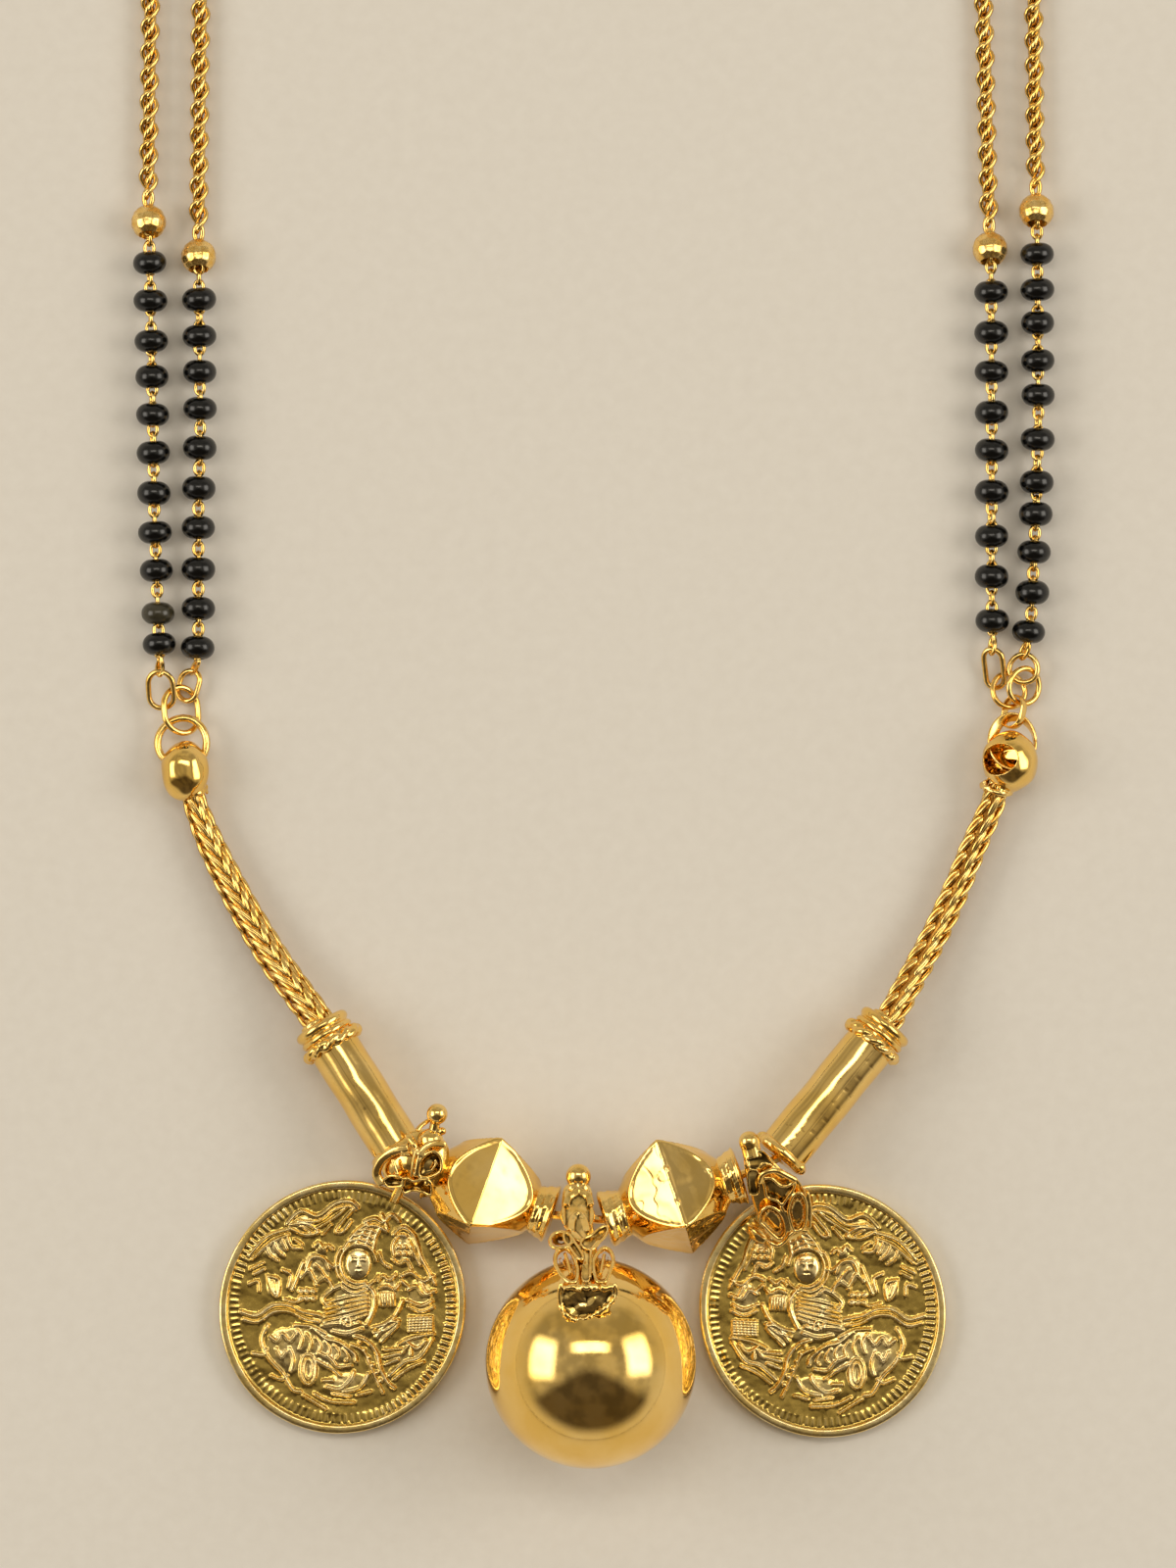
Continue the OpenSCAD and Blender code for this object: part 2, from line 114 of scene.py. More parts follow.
def reckon(tree, operation, *values):
    """Result of one step of arithmetic."""
    return add_node(tree, "Math", dict(enumerate(values)), operation=operation).outputs[0]


def ramp(tree, value, low, high, first=0, last=1, soft=False):
    """Turns a value between low and high to one between first and last, eased at both ends if soft."""
    return add_node(tree, "MapRange", {
        "Value": value, "From Min": low, "From Max": high, "To Min": first, "To Max": last,
    }, interpolation_type="SMOOTHSTEP" if soft else "LINEAR").outputs["Result"]


def mixed(tree, share, low, high):
    """Colour that goes from low to high as the share goes from 0 to 1."""
    return add_node(tree, "Mix", {0: share, 6: low, 7: high}, data_type="RGBA").outputs[2]


def bumped(tree, height, depth, **inputs):
    """Normal of a surface that rises by the depth, in millimetres, where the height is 1."""
    return add_node(tree, "Bump", {"Height": height, "Distance": depth * MM, "Strength": 1, **inputs}
                    ).outputs["Normal"]


def shaded(tree, tone, roughness, normal, **inputs):
    """Ends a material's tree in its surface."""
    shader = add_node(tree, "BsdfPrincipled", {
        "Base Color": tone, "Roughness": roughness, "Normal": normal, **inputs})
    add_node(tree, "OutputMaterial", {"Surface": shader.outputs["BSDF"]})


def studio_paper():
    """Matt paper: pale and even, with a faint tooth."""
    material, tree, coords = new_material("studio_paper_matt")
    tooth = clouds(tree, coords, paper_tooth, 3)
    tone = mixed(tree, tooth, srgb("#E4DFD7"), srgb("#ECE8E1"))
    shaded(tree, tone, 0.9, bumped(tree, tooth, 0.05, Strength=0.4))
    return material


sweep = bmesh.new()
bmesh.ops.create_grid(sweep, x_segments=1, y_segments=1, size=floor_side * MM / 2)
bmesh.ops.translate(sweep, vec=(0, 0, -floor_drop * MM), verts=sweep.verts)
floor_mesh = bpy.data.meshes.new("floor")
sweep.to_mesh(floor_mesh)
sweep.free()
floor_mesh.materials.append(studio_paper())
floor = bpy.data.objects.new("floor", floor_mesh)
bpy.context.collection.objects.link(floor)

world = bpy.data.worlds.new("studio")
bpy.context.scene.world = world
tree = new_tree(world)
coords = add_node(tree, "TexCoord").outputs["Generated"]
sky = add_node(tree, "SeparateXYZ", {"Vector": coords})
# The walls are pale but for a dark corner beyond the coins, with a soft edge overhead
aside = reckon(tree, "SQRT", reckon(tree, "MULTIPLY_ADD", sky.outputs["X"], sky.outputs["X"], 0.06))
front = reckon(tree, "MULTIPLY_ADD", aside, 0.72, sky.outputs["Y"])
walls = mixed(tree, ramp(tree, front, -0.02, 0.26, soft=True), srgb("#574D40"), srgb("#B2AA9A"))
# Shelves and curtains, out of focus, break the walls into softer and darker patches
clutter = ramp(tree, clouds(tree, coords, 2.6, 2), 0.38, 0.62, 0.75, 1.2, soft=True)
walls = add_node(tree, "VectorMath", {0: walls, "Scale": clutter}, operation="SCALE").outputs["Vector"]
room = mixed(tree, ramp(tree, sky.outputs["Z"], 0.04, 0.34, soft=True), srgb("#CFC6B8"), walls)
room = add_node(tree, "Background", {"Color": room, "Strength": 1.0}).outputs["Background"]
add_node(tree, "OutputWorld", {"Surface": room})


def softbox(name, lean, turn, distance, size, power, tone):
    """Area light that leans from straight overhead, towards turn degrees from +X, and faces the pendants.
    Its cloth is brightest in the middle and fades towards the frame."""
    lamp = bpy.data.lights.new(name, "AREA")
    lamp.shape = "RECTANGLE"
    lamp.size, lamp.size_y = size[0] * MM, size[1] * MM
    lamp.energy = power
    lamp.color = srgb(tone)[:3]
    tree = new_tree(lamp)
    cloth = add_node(tree, "SeparateXYZ", {"Vector": add_node(tree, "NewGeometry").outputs["Parametric"]})
    fades = []
    for axis in ("X", "Y"):
        inward = reckon(tree, "ABSOLUTE", reckon(tree, "SUBTRACT", cloth.outputs[axis], 0.5))
        fades.append(ramp(tree, inward, 0.5, 0.2, soft=True))
    cloth = add_node(tree, "Emission", {"Strength": reckon(tree, "MULTIPLY", *fades)})
    add_node(tree, "OutputLight", {"Surface": cloth.outputs["Emission"]})
    holder = bpy.data.objects.new(name, lamp)
    lean, turn = math.radians(lean), math.radians(turn)
    away = Vector((math.sin(lean) * math.cos(turn), math.sin(lean) * math.sin(turn), math.cos(lean)))
    holder.location = (at(0, 20, 0) + away * distance) * MM
    holder.rotation_euler = away.to_track_quat("Z", "Y").to_euler()
    holder.visible_camera = False
    bpy.context.collection.objects.link(holder)


softbox("softbox_left", 55, 174, 900, (820, 620), 5.6, "#FFF8EC")
softbox("softbox_right", 54, 10, 900, (820, 620), 6, "#FFF8EC")
softbox("strip_overhead", 19, 90, 1000, (900, 260), 3.2, "#FFF6E6")
bpy.context.scene.view_settings.view_transform = "Standard"

# Wheat chains
# Four long chains of gold-plated drawn wire: small bent oval links, each soldered shut and threaded through
# the next, so that they lie as an open plait. They run up from the gold beads, round the back.
outer_r = 36
inner_r = 31.9
wheat_d = 1.6
wheat_sway = 0.62
wheat_inner_sway = 0.3
wheat_lift = 0.27
wheat_pitch = 2.03
wheat_link_l = 2.5
wheat_wire_r = 0.2
wheat_spread = 0.08
wheat_end_l = 1.4
# A link turns over its neighbours from one angle through another, late in its length where the power is high
wheat_turn = (-16, 212, 1.35)
# Each strand of links as (roll round the chain, share of a pitch along it, how far it sways)
wheat_strands = [(0, 0, wheat_sway), (180, 0.16, wheat_sway), (0, 0.5, wheat_inner_sway),
                 (180, 0.66, wheat_inner_sway)]
end_ring_r = 2.1
end_ring_x = 4.1
end_ring_tilt = 20
end_ring_wire = 0.7
end_ring_h = loop_l - end_ring_r * math.cos(math.radians(end_ring_tilt)) - end_ring_wire / 2
back_rise = 33.5
back_h = end_ring_h - back_rise
back_turn = 72
back_steps = 36


def gold(name, pale, deep, patch_mm, roughness, wave_mm, wave_depth, grain_mm, grain_depth):
    """Gold plate: a metal whose two tones drift over patches, with slow waves and a fine grain in mm."""
    material, tree, coords = new_material(name)
    patches = ramp(tree, clouds(tree, coords, 1 / (patch_mm * MM), 3), 0.35, 0.65)
    grain = clouds(tree, coords, 1 / (grain_mm * MM), 2)
    gloss = ramp(tree, grain, 0.3, 0.7, roughness * 0.7, roughness * 1.4)
    waves = bumped(tree, clouds(tree, coords, 1 / (wave_mm * MM), 1), wave_depth)
    fine = bumped(tree, grain, grain_depth, Normal=waves)
    shaded(tree, mixed(tree, patches, srgb(deep), srgb(pale)), gloss, fine, Metallic=1)
    return material


# Drawn wire: bright and smooth, a little soft where the solder and the tumbling have dulled it
drawn_gold = gold("gold_plate_drawn_wire", "#FDDA8A", "#F3C464", 0.9, 0.16, 0.6, 0.01, 0.08, 0.002)

# A darker gold for the cores: painted shade that stands in for the depth of a plait and the inside of a woven
# rope
painted_shade_gold = gold("gold_plate_painted_shade_core", "#CF9C48", "#94662A", 0.6, 0.3, 0.4, 0.02, 0.08, 0.002)


def flowing(points, steps):
    """Points on a smooth line through the given ones."""
    line = []
    rows = [points[0], *points, points[-1]]
    for a, b, c, d in zip(rows, rows[1:], rows[2:], rows[3:]):
        for i in range(steps):
            t = i / steps
            line.append(0.5 * (2 * b + (c - a) * t + (2 * a - 5 * b + 4 * c - d) * t * t
                               + (3 * b - a - 3 * c + d) * t ** 3))
    return [*line, points[-1]]


class Route:
    """A line through points, measured along its length, with a side and an up at each place."""
    aim = 0.4  # how far each way from a place its direction is taken

    def __init__(self, points, radii=None):
        self.points = points
        self.marks = [0]
        for a, b in zip(points, points[1:]):
            self.marks.append(self.marks[-1] + (b - a).length)
        self.length = self.marks[-1]
        self.radii = radii

    def place(self, s):
        i = int(np.clip(np.searchsorted(self.marks, s) - 1, 0, len(self.points) - 2))
        share = (s - self.marks[i]) / (self.marks[i + 1] - self.marks[i])
        return self.points[i].lerp(self.points[i + 1], share)

    def radius(self, s):
        return float(np.interp(s, self.marks, self.radii))

    def spot(self, s, side, up):
        ahead = (self.place(s + self.aim) - self.place(s - self.aim)).normalized()
        right = ahead.cross(Vector((0, 0, 1))).normalized()
        return self.place(s) + right * side + right.cross(ahead) * up


def wires(runs, radius, closed=True, swell=None, fine=1, flat=0, lie=lambda t: 90):
    """Round wire along each run of points, as one bmesh. Swell gives the wire's share of radius along a run,
    and flat makes it a strip, that much wider to each side, that lies at an angle from upright."""
    curve = bpy.data.curves.new("wire", "CURVE")
    curve.dimensions = "3D"
    curve.bevel_depth = radius
    curve.bevel_resolution = fine
    curve.use_fill_caps = True
    curve.extrude = flat
    curve.twist_mode = "Z_UP" if flat else "MINIMUM"
    for run in runs:
        spline = curve.splines.new("POLY")
        spline.points.add(len(run) - 1)
        spline.points.foreach_set("co", [c for p in run for c in (*p, 1)])
        if swell:
            spline.points.foreach_set("radius", [swell(i / (len(run) - 1)) for i in range(len(run))])
        if flat:
            tilts = [math.radians(lie(i / (len(run) - 1))) for i in range(len(run))]
            spline.points.foreach_set("tilt", tilts)
        spline.use_cyclic_u = closed
    holder = bpy.data.objects.new("wire", curve)
    mesh = bpy.data.meshes.new_from_object(holder)
    shape = bmesh.new()
    shape.from_mesh(mesh)
    bpy.data.objects.remove(holder)
    bpy.data.curves.remove(curve)
    bpy.data.meshes.remove(mesh)
    bmesh.ops.remove_doubles(shape, verts=shape.verts, dist=radius / 50)
    return shape


def link_loop(line, spread, legs=8):
    """Closed loop of wire round a line, which gives a place for (t, side): out along one side in so many
    legs, and back along the other."""
    out = [line(i / legs, spread * math.sin(math.pi * i / legs) ** 0.5) for i in range(legs + 1)]
    back = [line(i / legs, -spread * math.sin(math.pi * i / legs) ** 0.5) for i in range(legs - 1, 0, -1)]
    return out + back


def piece(name, shape, material, nodes):
    """Makes a bmesh in millimetres a finished object that rides on the one body and stands for its nodes."""
    bmesh.ops.recalc_face_normals(shape, faces=shape.faces)
    bmesh.ops.scale(shape, vec=(MM, MM, MM), verts=shape.verts)
    for face in shape.faces:
        face.smooth = True
    mesh = bpy.data.meshes.new(name)
    shape.to_mesh(mesh)
    shape.free()
    mesh.materials.append(material)
    thing = bpy.data.objects.new(name, mesh)
    bpy.context.collection.objects.link(thing)
    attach(thing, "root")
    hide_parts(*nodes)
    return thing


def wheat_link(route, place, roll, sway):
    """One link of the plait: it bows out to one side, over its neighbour at one end and under it
    at the other."""
    c, d = math.cos(math.radians(roll)), math.sin(math.radians(roll))

    def line(t, side):
        turn = math.radians(wheat_turn[0] + wheat_turn[1] * t ** wheat_turn[2])
        out = sway * math.sin(turn)
        across = wheat_lift * math.cos(turn) + side
        return route.spot(place + wheat_link_l * (t - 0.5), out * c - across * d, out * d + across * c)

    return link_loop(line, wheat_spread)


def wheat_chain(name, hand, foot_x, foot_h, r, end_dy):
    """A wheat chain from its gold bead to its end ring."""
    centre_z = wheat_d / 2
    bends = [at(hand * foot_x, foot_h, centre_z + 0.1), at(hand * r, 122, centre_z),
             at(hand * r, 190, centre_z)]
    for i in range(back_steps + 1):
        turn = math.radians(back_turn * i / back_steps)
        bends.append(at(hand * r * math.cos(turn), back_h + r * math.sin(turn), centre_z))
    bends.append(at(hand * (end_ring_x + end_ring_r + 0.6), end_ring_h + end_dy, centre_z + 0.1))
    route = Route(bends)
    count = round((route.length - 2 * wheat_end_l) / wheat_pitch)
    step = (route.length - 2 * wheat_end_l) / count
    links = [wheat_link(route, wheat_end_l + (i + share) * step, roll, sway) for i in range(count + 1)
             for roll, share, sway in wheat_strands if i < count or not share]
    # A single plain link joins the plait to the gold bead below it
    links.append([route.spot(0.15 + 0.7 * math.cos(a), 0.33 * math.sin(a), 0.1)
                  for a in (math.tau * i / 14 for i in range(14))])
    piece(name, wires(links, wheat_wire_r), drawn_gold, [name])
    # A dark core, in painted shade, shows as the depth of the plait
    inside = [route.spot(s, 0.1 * math.sin(s * 7), 0)
              for s in np.linspace(1.2, route.length - 1.2, 6 * count)]
    inside = wires([inside], 0.27, closed=False, swell=lambda t: 1 + 0.3 * math.sin(t * count * math.tau))
    piece(name.replace("chain", "core"), inside, painted_shade_gold, [name])


wheat_chain("left_outer_wheat_chain", -1, 36.2, 103.2, outer_r, 0.95)
wheat_chain("left_inner_wheat_chain", -1, 32.1, 100.4, inner_r, -0.95)
wheat_chain("right_inner_wheat_chain", 1, 32.4, 101, inner_r, -0.95)
wheat_chain("right_outer_wheat_chain", 1, 36.2, 104.1, outer_r, 0.95)

# End rings and clasp
# The two chains of each side meet in a ring of round wire, and a plain S hook closes the loop.
clasp_r = 1.7
clasp_wire = 0.9
clasp_tilt = -17
clasp_z = 1.15


def circle_run(centre, tilt, r, first, last, steps):
    """Points round a circle that is tilted about X."""
    lean = Euler((math.radians(tilt), 0, 0)).to_matrix()
    turns = [math.radians(first + (last - first) * i / steps) for i in range(steps + 1)]
    return [centre + lean @ Vector((r * math.cos(a), r * math.sin(a), 0)) for a in turns]


for name, hand in (("left_end_ring", -1), ("right_end_ring", 1)):
    ring = circle_run(at(hand * end_ring_x, end_ring_h, clasp_z), end_ring_tilt, end_ring_r, 0, 350, 35)
    piece(name, wires([ring], end_ring_wire / 2, fine=4), drawn_gold, [name])

hook_mid = at(0, end_ring_h, clasp_z)
hook_lean = Euler((math.radians(clasp_tilt), 0, 0)).to_matrix()
hook = [Vector((-clasp_r + clasp_r * math.cos(a), clasp_r * math.sin(a), 0))
        for a in (math.radians(300 - 10 * i) for i in range(31))]
hook += [-p for p in reversed(hook[:-1])]
hook = [hook_mid + hook_lean @ p for p in hook]
hook_shape = wires([hook], clasp_wire / 2, closed=False, fine=4,
                   swell=lambda t: 1 - 0.25 * abs(2 * t - 1) ** 4)
piece("clasp", hook_shape, drawn_gold, ["clasp"])

# Fine link chains
# Under each gold bead runs a cable chain of tiny oval links, thin enough to pass through the black beads.
link_pitch = 0.82
link_half = (0.38, 0.57)  # across and along
link_wire_r = 0.16
link_steps = 14
link_start = 0.45
link_rolls = (8, 76)
link_roll_play = 14
# Each chain's line from its gold bead down, as (x, h, z)
link_rows = {
    "left_outer": [(-36.2, 102.9, 1.5), (-36.1, 99.5, 1.4), (-35.85, 87.2, 1.38), (-35.7, 77.7, 1.38),
                   (-35.35, 68.25, 1.38), (-35.2, 65.2, 1.45)],
    "left_inner": [(-32.1, 100.1, 1.5), (-32.05, 96.6, 1.4), (-31.95, 84.6, 1.38), (-32.1, 78.1, 1.38),
                   (-32.1, 68.3, 1.38), (-32.2, 65.3, 1.38)],
    "right_inner": [(32.4, 100.7, 1.5), (32.55, 97.2, 1.4), (32.6, 84.3, 1.38), (32.6, 70.6, 1.38),
                    (32.7, 67, 1.45)],
    "right_outer": [(36.2, 103.8, 1.5), (36.3, 100.3, 1.4), (36.4, 85.4, 1.38), (36.25, 78.9, 1.38),
                    (35.85, 69.6, 1.38), (35.4, 66.6, 1.38)],
}
for strand, rows in link_rows.items():
    route = Route([at(*row) for row in reversed(rows)])
    turn = random.Random(strand)
    links = []
    for i in range(int(route.length / link_pitch)):
        roll = math.radians(link_rolls[0 if i % 2 else 1] + turn.uniform(-link_roll_play, link_roll_play))
        run = []
        for k in range(link_steps):
            a = math.tau * k / link_steps
            side = link_half[0] * math.cos(a)
            run.append(route.spot(link_start + i * link_pitch + link_half[1] * math.sin(a),
                                  side * math.cos(roll), side * math.sin(roll)))
        links.append(run)
    node = strand + "_link_chain"
    piece(node, wires(links, link_wire_r), drawn_gold, [node])

# Black beads
# Short rings of wound black glass, glossy from the flame and none quite like the next.
black_w = 2.8
black_h = 1.98
black_hole = 1.16
bead_heights = {
    "left_outer": [98.1, 95, 91.7, 88.8, 85.7, 82.6, 79.3, 76.1, 73, 69.5, 67],
    "left_inner": [95.1, 92.1, 89.2, 86.2, 83, 79.7, 76.5, 73.1, 69.9, 66.7],
    "right_inner": [95.7, 92.4, 89.2, 85.9, 82.8, 79.4, 75.8, 72.5, 68.9],
    "right_outer": [98.8, 95.9, 93.2, 90.1, 87.3, 83.7, 80.2, 77.6, 74.5, 71.2, 68],
}
smoky_bead_h = 69.5
bead_tilt = 0.07
glass_cloud = 900  # clouds in a metre of the glass


def glass(name, thick, thin):
    """Soda glass that is all but opaque: a deep body under a clear fire-polished skin with slight waves."""
    material, tree, coords = new_material(name)
    cloud = clouds(tree, coords, glass_cloud, 3)
    tone = mixed(tree, cloud, srgb(thick), srgb(thin))
    shaded(tree, tone, 0.2, bumped(tree, cloud, 0.03), **{"IOR": 1.52, "Specular IOR Level": 0.5})
    return material


# Fire-polished black glass gives small sharp lights on a body without depth; one bead is brown and cloudy
black_glass = glass("glass_black_fire_polished", "#020202", "#080808")
smoky_glass = glass("glass_smoky_fire_polished", "#1C1A12", "#4A4432")


def along(a, b):
    """Matrix that stands +Z up from a towards b."""
    v = b - a
    return (Matrix.Translation(a) @ Matrix.Rotation(math.atan2(v.y, v.x), 4, "Z")
            @ Matrix.Rotation(math.acos(v.z / v.length), 4, "Y"))


def turned(outline, steps):
    """Spins a closed outline of (radius, height) about Z."""
    shape = bmesh.new()
    corners = [shape.verts.new((r, 0, z)) for r, z in outline]
    edges = [shape.edges.new((a, b)) for a, b in zip(corners, corners[1:] + corners[:1])]
    bmesh.ops.spin(shape, geom=corners + edges, cent=(0, 0, 0), axis=(0, 0, 1), dvec=(0, 0, 0),
                   angle=math.tau, steps=steps, use_merge=True)
    bmesh.ops.remove_doubles(shape, verts=shape.verts, dist=0.0005)
    bmesh.ops.recalc_face_normals(shape, faces=shape.faces)
    return shape


def arc(r, z, bow, first, last, steps):
    """Points of an outline round (r, z), from first to last degrees."""
    turns = [math.radians(first + (last - first) * i / steps) for i in range(steps + 1)]
    return [(r + bow * math.cos(a), z + bow * math.sin(a)) for a in turns]


def join(shapes):
    """One bmesh of several."""
    whole = bmesh.new()
    for shape in shapes:
        mesh = bpy.data.meshes.new("part")
        shape.to_mesh(mesh)
        shape.free()
        whole.from_mesh(mesh)
        bpy.data.meshes.remove(mesh)
    return whole


def on_chain(strand, h):
    """Matrix that stands +Z up a link chain at height h."""
    rows = [at(*row) for row in link_rows[strand]]
    y = at(0, h, 0).y
    leg = next(i for i in range(len(rows) - 1) if rows[i].y >= y > rows[i + 1].y)
    high, low = rows[leg], rows[leg + 1]
    centre = high.lerp(low, (high.y - y) / (high.y - low.y))
    return along(centre, centre + high - low)


def black_bead(rng):
    """A wound glass ring with its bore, slightly out of true."""
    bow = black_h / 2
    middle = black_w / 2 - bow
    edge = math.degrees(math.acos((black_hole / 2 - middle) / bow))
    shape = turned(arc(middle, 0, bow, -edge, edge, 11), 24)
    bmesh.ops.scale(shape, vec=(rng.uniform(0.97, 1), rng.uniform(0.97, 1), rng.uniform(0.92, 1)),
                    verts=shape.verts)
    tilt = Euler((rng.uniform(-bead_tilt, bead_tilt), rng.uniform(-bead_tilt, bead_tilt), 0))
    bmesh.ops.rotate(shape, matrix=tilt.to_matrix(), verts=shape.verts)
    return shape


for strand, heights in bead_heights.items():
    rng = random.Random(strand)
    beads, smoky = [], []
    for h in heights:
        bead = black_bead(rng)
        bead.transform(on_chain(strand, h))
        (smoky if h == smoky_bead_h else beads).append(bead)
    node = strand + "_black_beads"
    piece(node, join(beads), black_glass, [node])
    if smoky:
        piece("smoky_bead", join(smoky), smoky_glass, [node])

# Gold beads
# One hollow ball of gold-plated sheet ends each bead strand, punched all over with small dimples.
gold_d = 2.84
dimple_r = 0.3
dimple_depth = 0.04
# Rings of dimples as (degrees from the bead's equator, how many)
dimple_rings = ((-46, 9), (-23, 13), (0, 14), (23, 13), (46, 9))
# Burr round a dimple: its height as a share of the depth, and its place and width as shares of the radius
dimple_burr = (0.45, 1.12, 0.2)
gold_bead_lean = 26
gold_hole = 1.6
gold_heights = {"left_outer": 101.4, "left_inner": 98.6, "right_inner": 99.2, "right_outer": 102.3}
# Punched sheet: bright, but too uneven to mirror anything, so that it glitters softly
punched_gold = gold("gold_plate_punched_sheet", "#FDDC92", "#EFC064", 0.7, 0.24, 0.35, 0.012, 0.1, 0.005)


def gold_bead(rng):
    """Spun ball with a bore, dimpled in rings round it."""
    r = gold_d / 2
    edge = math.degrees(math.acos(gold_hole / 2 / r))
    shape = turned(arc(0, 0, r, -edge, edge, 36), 56)
    dimples = []
    for ring, count in dimple_rings:
        for i in range(count):
            turn = math.tau * (i + rng.uniform(-0.15, 0.15)) / count + ring
            tilt = math.radians(ring + rng.uniform(-3, 3))
            dimples.append(Vector((math.cos(turn) * math.cos(tilt), math.sin(turn) * math.cos(tilt),
                                   math.sin(tilt))) * r)
    for vert in shape.verts:
        if vert.co.length > 0.98 * r:
            near = min((vert.co - d).length for d in dimples) / dimple_r
            burr = dimple_burr[0] * math.exp(-((near - dimple_burr[1]) / dimple_burr[2]) ** 2)
            vert.co *= 1 + dimple_depth / r * (burr - max(0, 1 - near ** 2))
    return shape


for strand, h in gold_heights.items():
    bead = gold_bead(random.Random(strand))
    bead.transform(on_chain(strand, h) @ Matrix.Rotation(math.radians(gold_bead_lean), 4, "Y"))
    node = strand + "_gold_bead"
    piece(node, bead, punched_gold, [node])

# Joining rings
# Gold-plated wire bent to rings and ovals and soldered shut. They gather both bead strands of a side into
# the cap, and two on the right are flat strips.
# Each ring as (x, h, z, its lean about X, Y and Z, half width, half length, thickness of its wire)
ring_rows = {
    "left_cap_ring": (-33.4, 58.95, 1.5, -5, -4, 0, 2, 2, 0.56),
    "left_joining_ring": (-33.5, 61.6, 1.1, -10, 29, 0, 1.55, 1.9, 0.44),
    "left_outer_ring": (-35.15, 63.25, 1.5, 17, -13, 0, 1.05, 1.55, 0.4),
    "left_inner_ring": (-32.9, 63.6, 0.55, -2, -22, -15, 0.85, 1.25, 0.4),
    "right_cap_ring": (34.4, 59, 1.95, -12, 8, 0, 1.75, 2.1, 0.5),
    "right_joining_ring": (34, 63.2, 0.8, -13, 20, 0, 1.4, 1.4, 0.4),
    "right_front_ring": (35.25, 63.55, 1.25, 5, 32, 0, 1.45, 1.45, 0.42),
    "right_outer_ring": (35.2, 65, 1.25, -1, -4, 0, 1.15, 1.15, 0.4),
    "right_inner_ring": (32.8, 65, 1.05, 18, -21, 0, 0.8, 1.65, 0.4),
}
band_row = (34.4, 61.45, 1.4, -16, -43, 0, 1, 1.35, 0.44)
band_strip = (0.22, 0.8)  # thickness and width
ring_extra = 0.03
ring_steps = 48
cap_strip = (0.12, 0.38)  # radius of its edges, and half the width between them
cap_strip_lean = 66
end_link_half_w = 0.42
end_link_over = 0.4


def ring_place(row):
    """Matrix of a ring's place and tilt."""
    turn = Euler([math.radians(a) for a in row[3:6]]).to_matrix().to_4x4()
    return Matrix.Translation(at(*row[:3])) @ turn


def oval_ring(row, wire_r):
    """Oval ring of wire, flat, long way along Y, with a slight unevenness from the pliers."""
    half_w, half_l = row[6:8]
    run = []
    for i in range(ring_steps):
        a = math.tau * i / ring_steps
        stretch = math.copysign(half_l - half_w, math.sin(a)) * min(1, abs(math.sin(a)) * 6)
        uneven = 1 + 0.015 * math.sin(3 * a + row[0])
        run.append(Vector((half_w * math.cos(a) * uneven, half_w * math.sin(a) * uneven + stretch, 0)))
    return wires([run], wire_r, fine=4)


def end_link(strand, ring_name):
    """Oval link through the last link of a strand and the top of its ring."""
    row = ring_rows[ring_name]
    low = ring_place(row) @ Vector((0, row[7], 0))
    high = at(*link_rows[strand][-1]) + Vector((0, 0.15, 0))
    ahead = (high - low).normalized()
    side = (ring_place(row).to_3x3() @ Vector((0.75, 0, 0.7))).normalized()
    half = (high - low).length / 2 + end_link_over
    return [low.lerp(high, 0.5) + ahead * half * math.sin(a) + side * end_link_half_w * math.cos(a)
            for a in (math.tau * i / 16 for i in range(16))]


strand_rings = {strand + "_ring": strand for strand in link_rows}
for name, row in ring_rows.items():
    ring = oval_ring(row, row[8] / 2 + ring_extra)
    if name == "right_cap_ring":
        # This one is a strip: on edge where it enters the cap on the right, and laid over on the left
        turns = [math.tau * i / ring_steps for i in range(ring_steps + 1)]
        run = [Vector((row[6] * math.cos(a), row[7] * math.sin(a), 0)) for a in turns]
        ring = wires([run], cap_strip[0], closed=False, fine=2, flat=cap_strip[1],
                     lie=lambda t: cap_strip_lean * (0.5 - 0.5 * math.cos(math.tau * t)))
    ring.transform(ring_place(row))
    if name in strand_rings:
        ring = join([ring, wires([end_link(strand_rings[name], name)], 0.17, fine=2)])
    piece(name, ring, drawn_gold, [name])

band = oval_ring(band_row, band_strip[0] / 2)
bmesh.ops.scale(band, vec=(1, 1, band_strip[1] / band_strip[0]), verts=band.verts)
band.transform(ring_place(band_row))
piece("right_band_ring", band, drawn_gold, ["right_band_ring"])

# End caps
# An egg of gold-plated sheet closes the top of each woven chain, with a collar where the chain goes in.
# The heavy ring passes through its sides; the right one is open at the front where the ring goes in.
cap_wall = 0.3
collar_wire_r = 0.2
fleck_count = 26
cap_channel = {"left": 0.15, "right": 0.35}
# Burnished sheet: it mirrors the room, in slow waves where it was beaten
burnished_gold = gold("gold_plate_burnished_sheet", "#FDD887", "#F5CA6C", 4, 0.07, 3, 0.02, 0.25, 0.0015)


def object_of(shape):
    """Loose object of a bmesh, for a modifier to work on."""
    mesh = bpy.data.meshes.new("work")
    shape.to_mesh(mesh)
    shape.free()
    thing = bpy.data.objects.new("work", mesh)
    bpy.context.collection.objects.link(thing)
    return thing


def worked(thing):
    """The bmesh that an object's modifiers make, and the object gone."""
    graph = bpy.context.evaluated_depsgraph_get()
    mesh = bpy.data.meshes.new_from_object(thing.evaluated_get(graph))
    shape = bmesh.new()
    shape.from_mesh(mesh)
    bpy.data.objects.remove(thing)
    bpy.data.meshes.remove(mesh)
    return shape


def cut(shape, tool):
    """Takes one closed bmesh out of another."""
    block, cutter = object_of(shape), object_of(tool)
    knife = block.modifiers.new("cut", "BOOLEAN")
    knife.operation = "DIFFERENCE"
    knife.object = cutter
    knife.solver = "EXACT"
    result = worked(block)
    bpy.data.objects.remove(cutter)
    return result


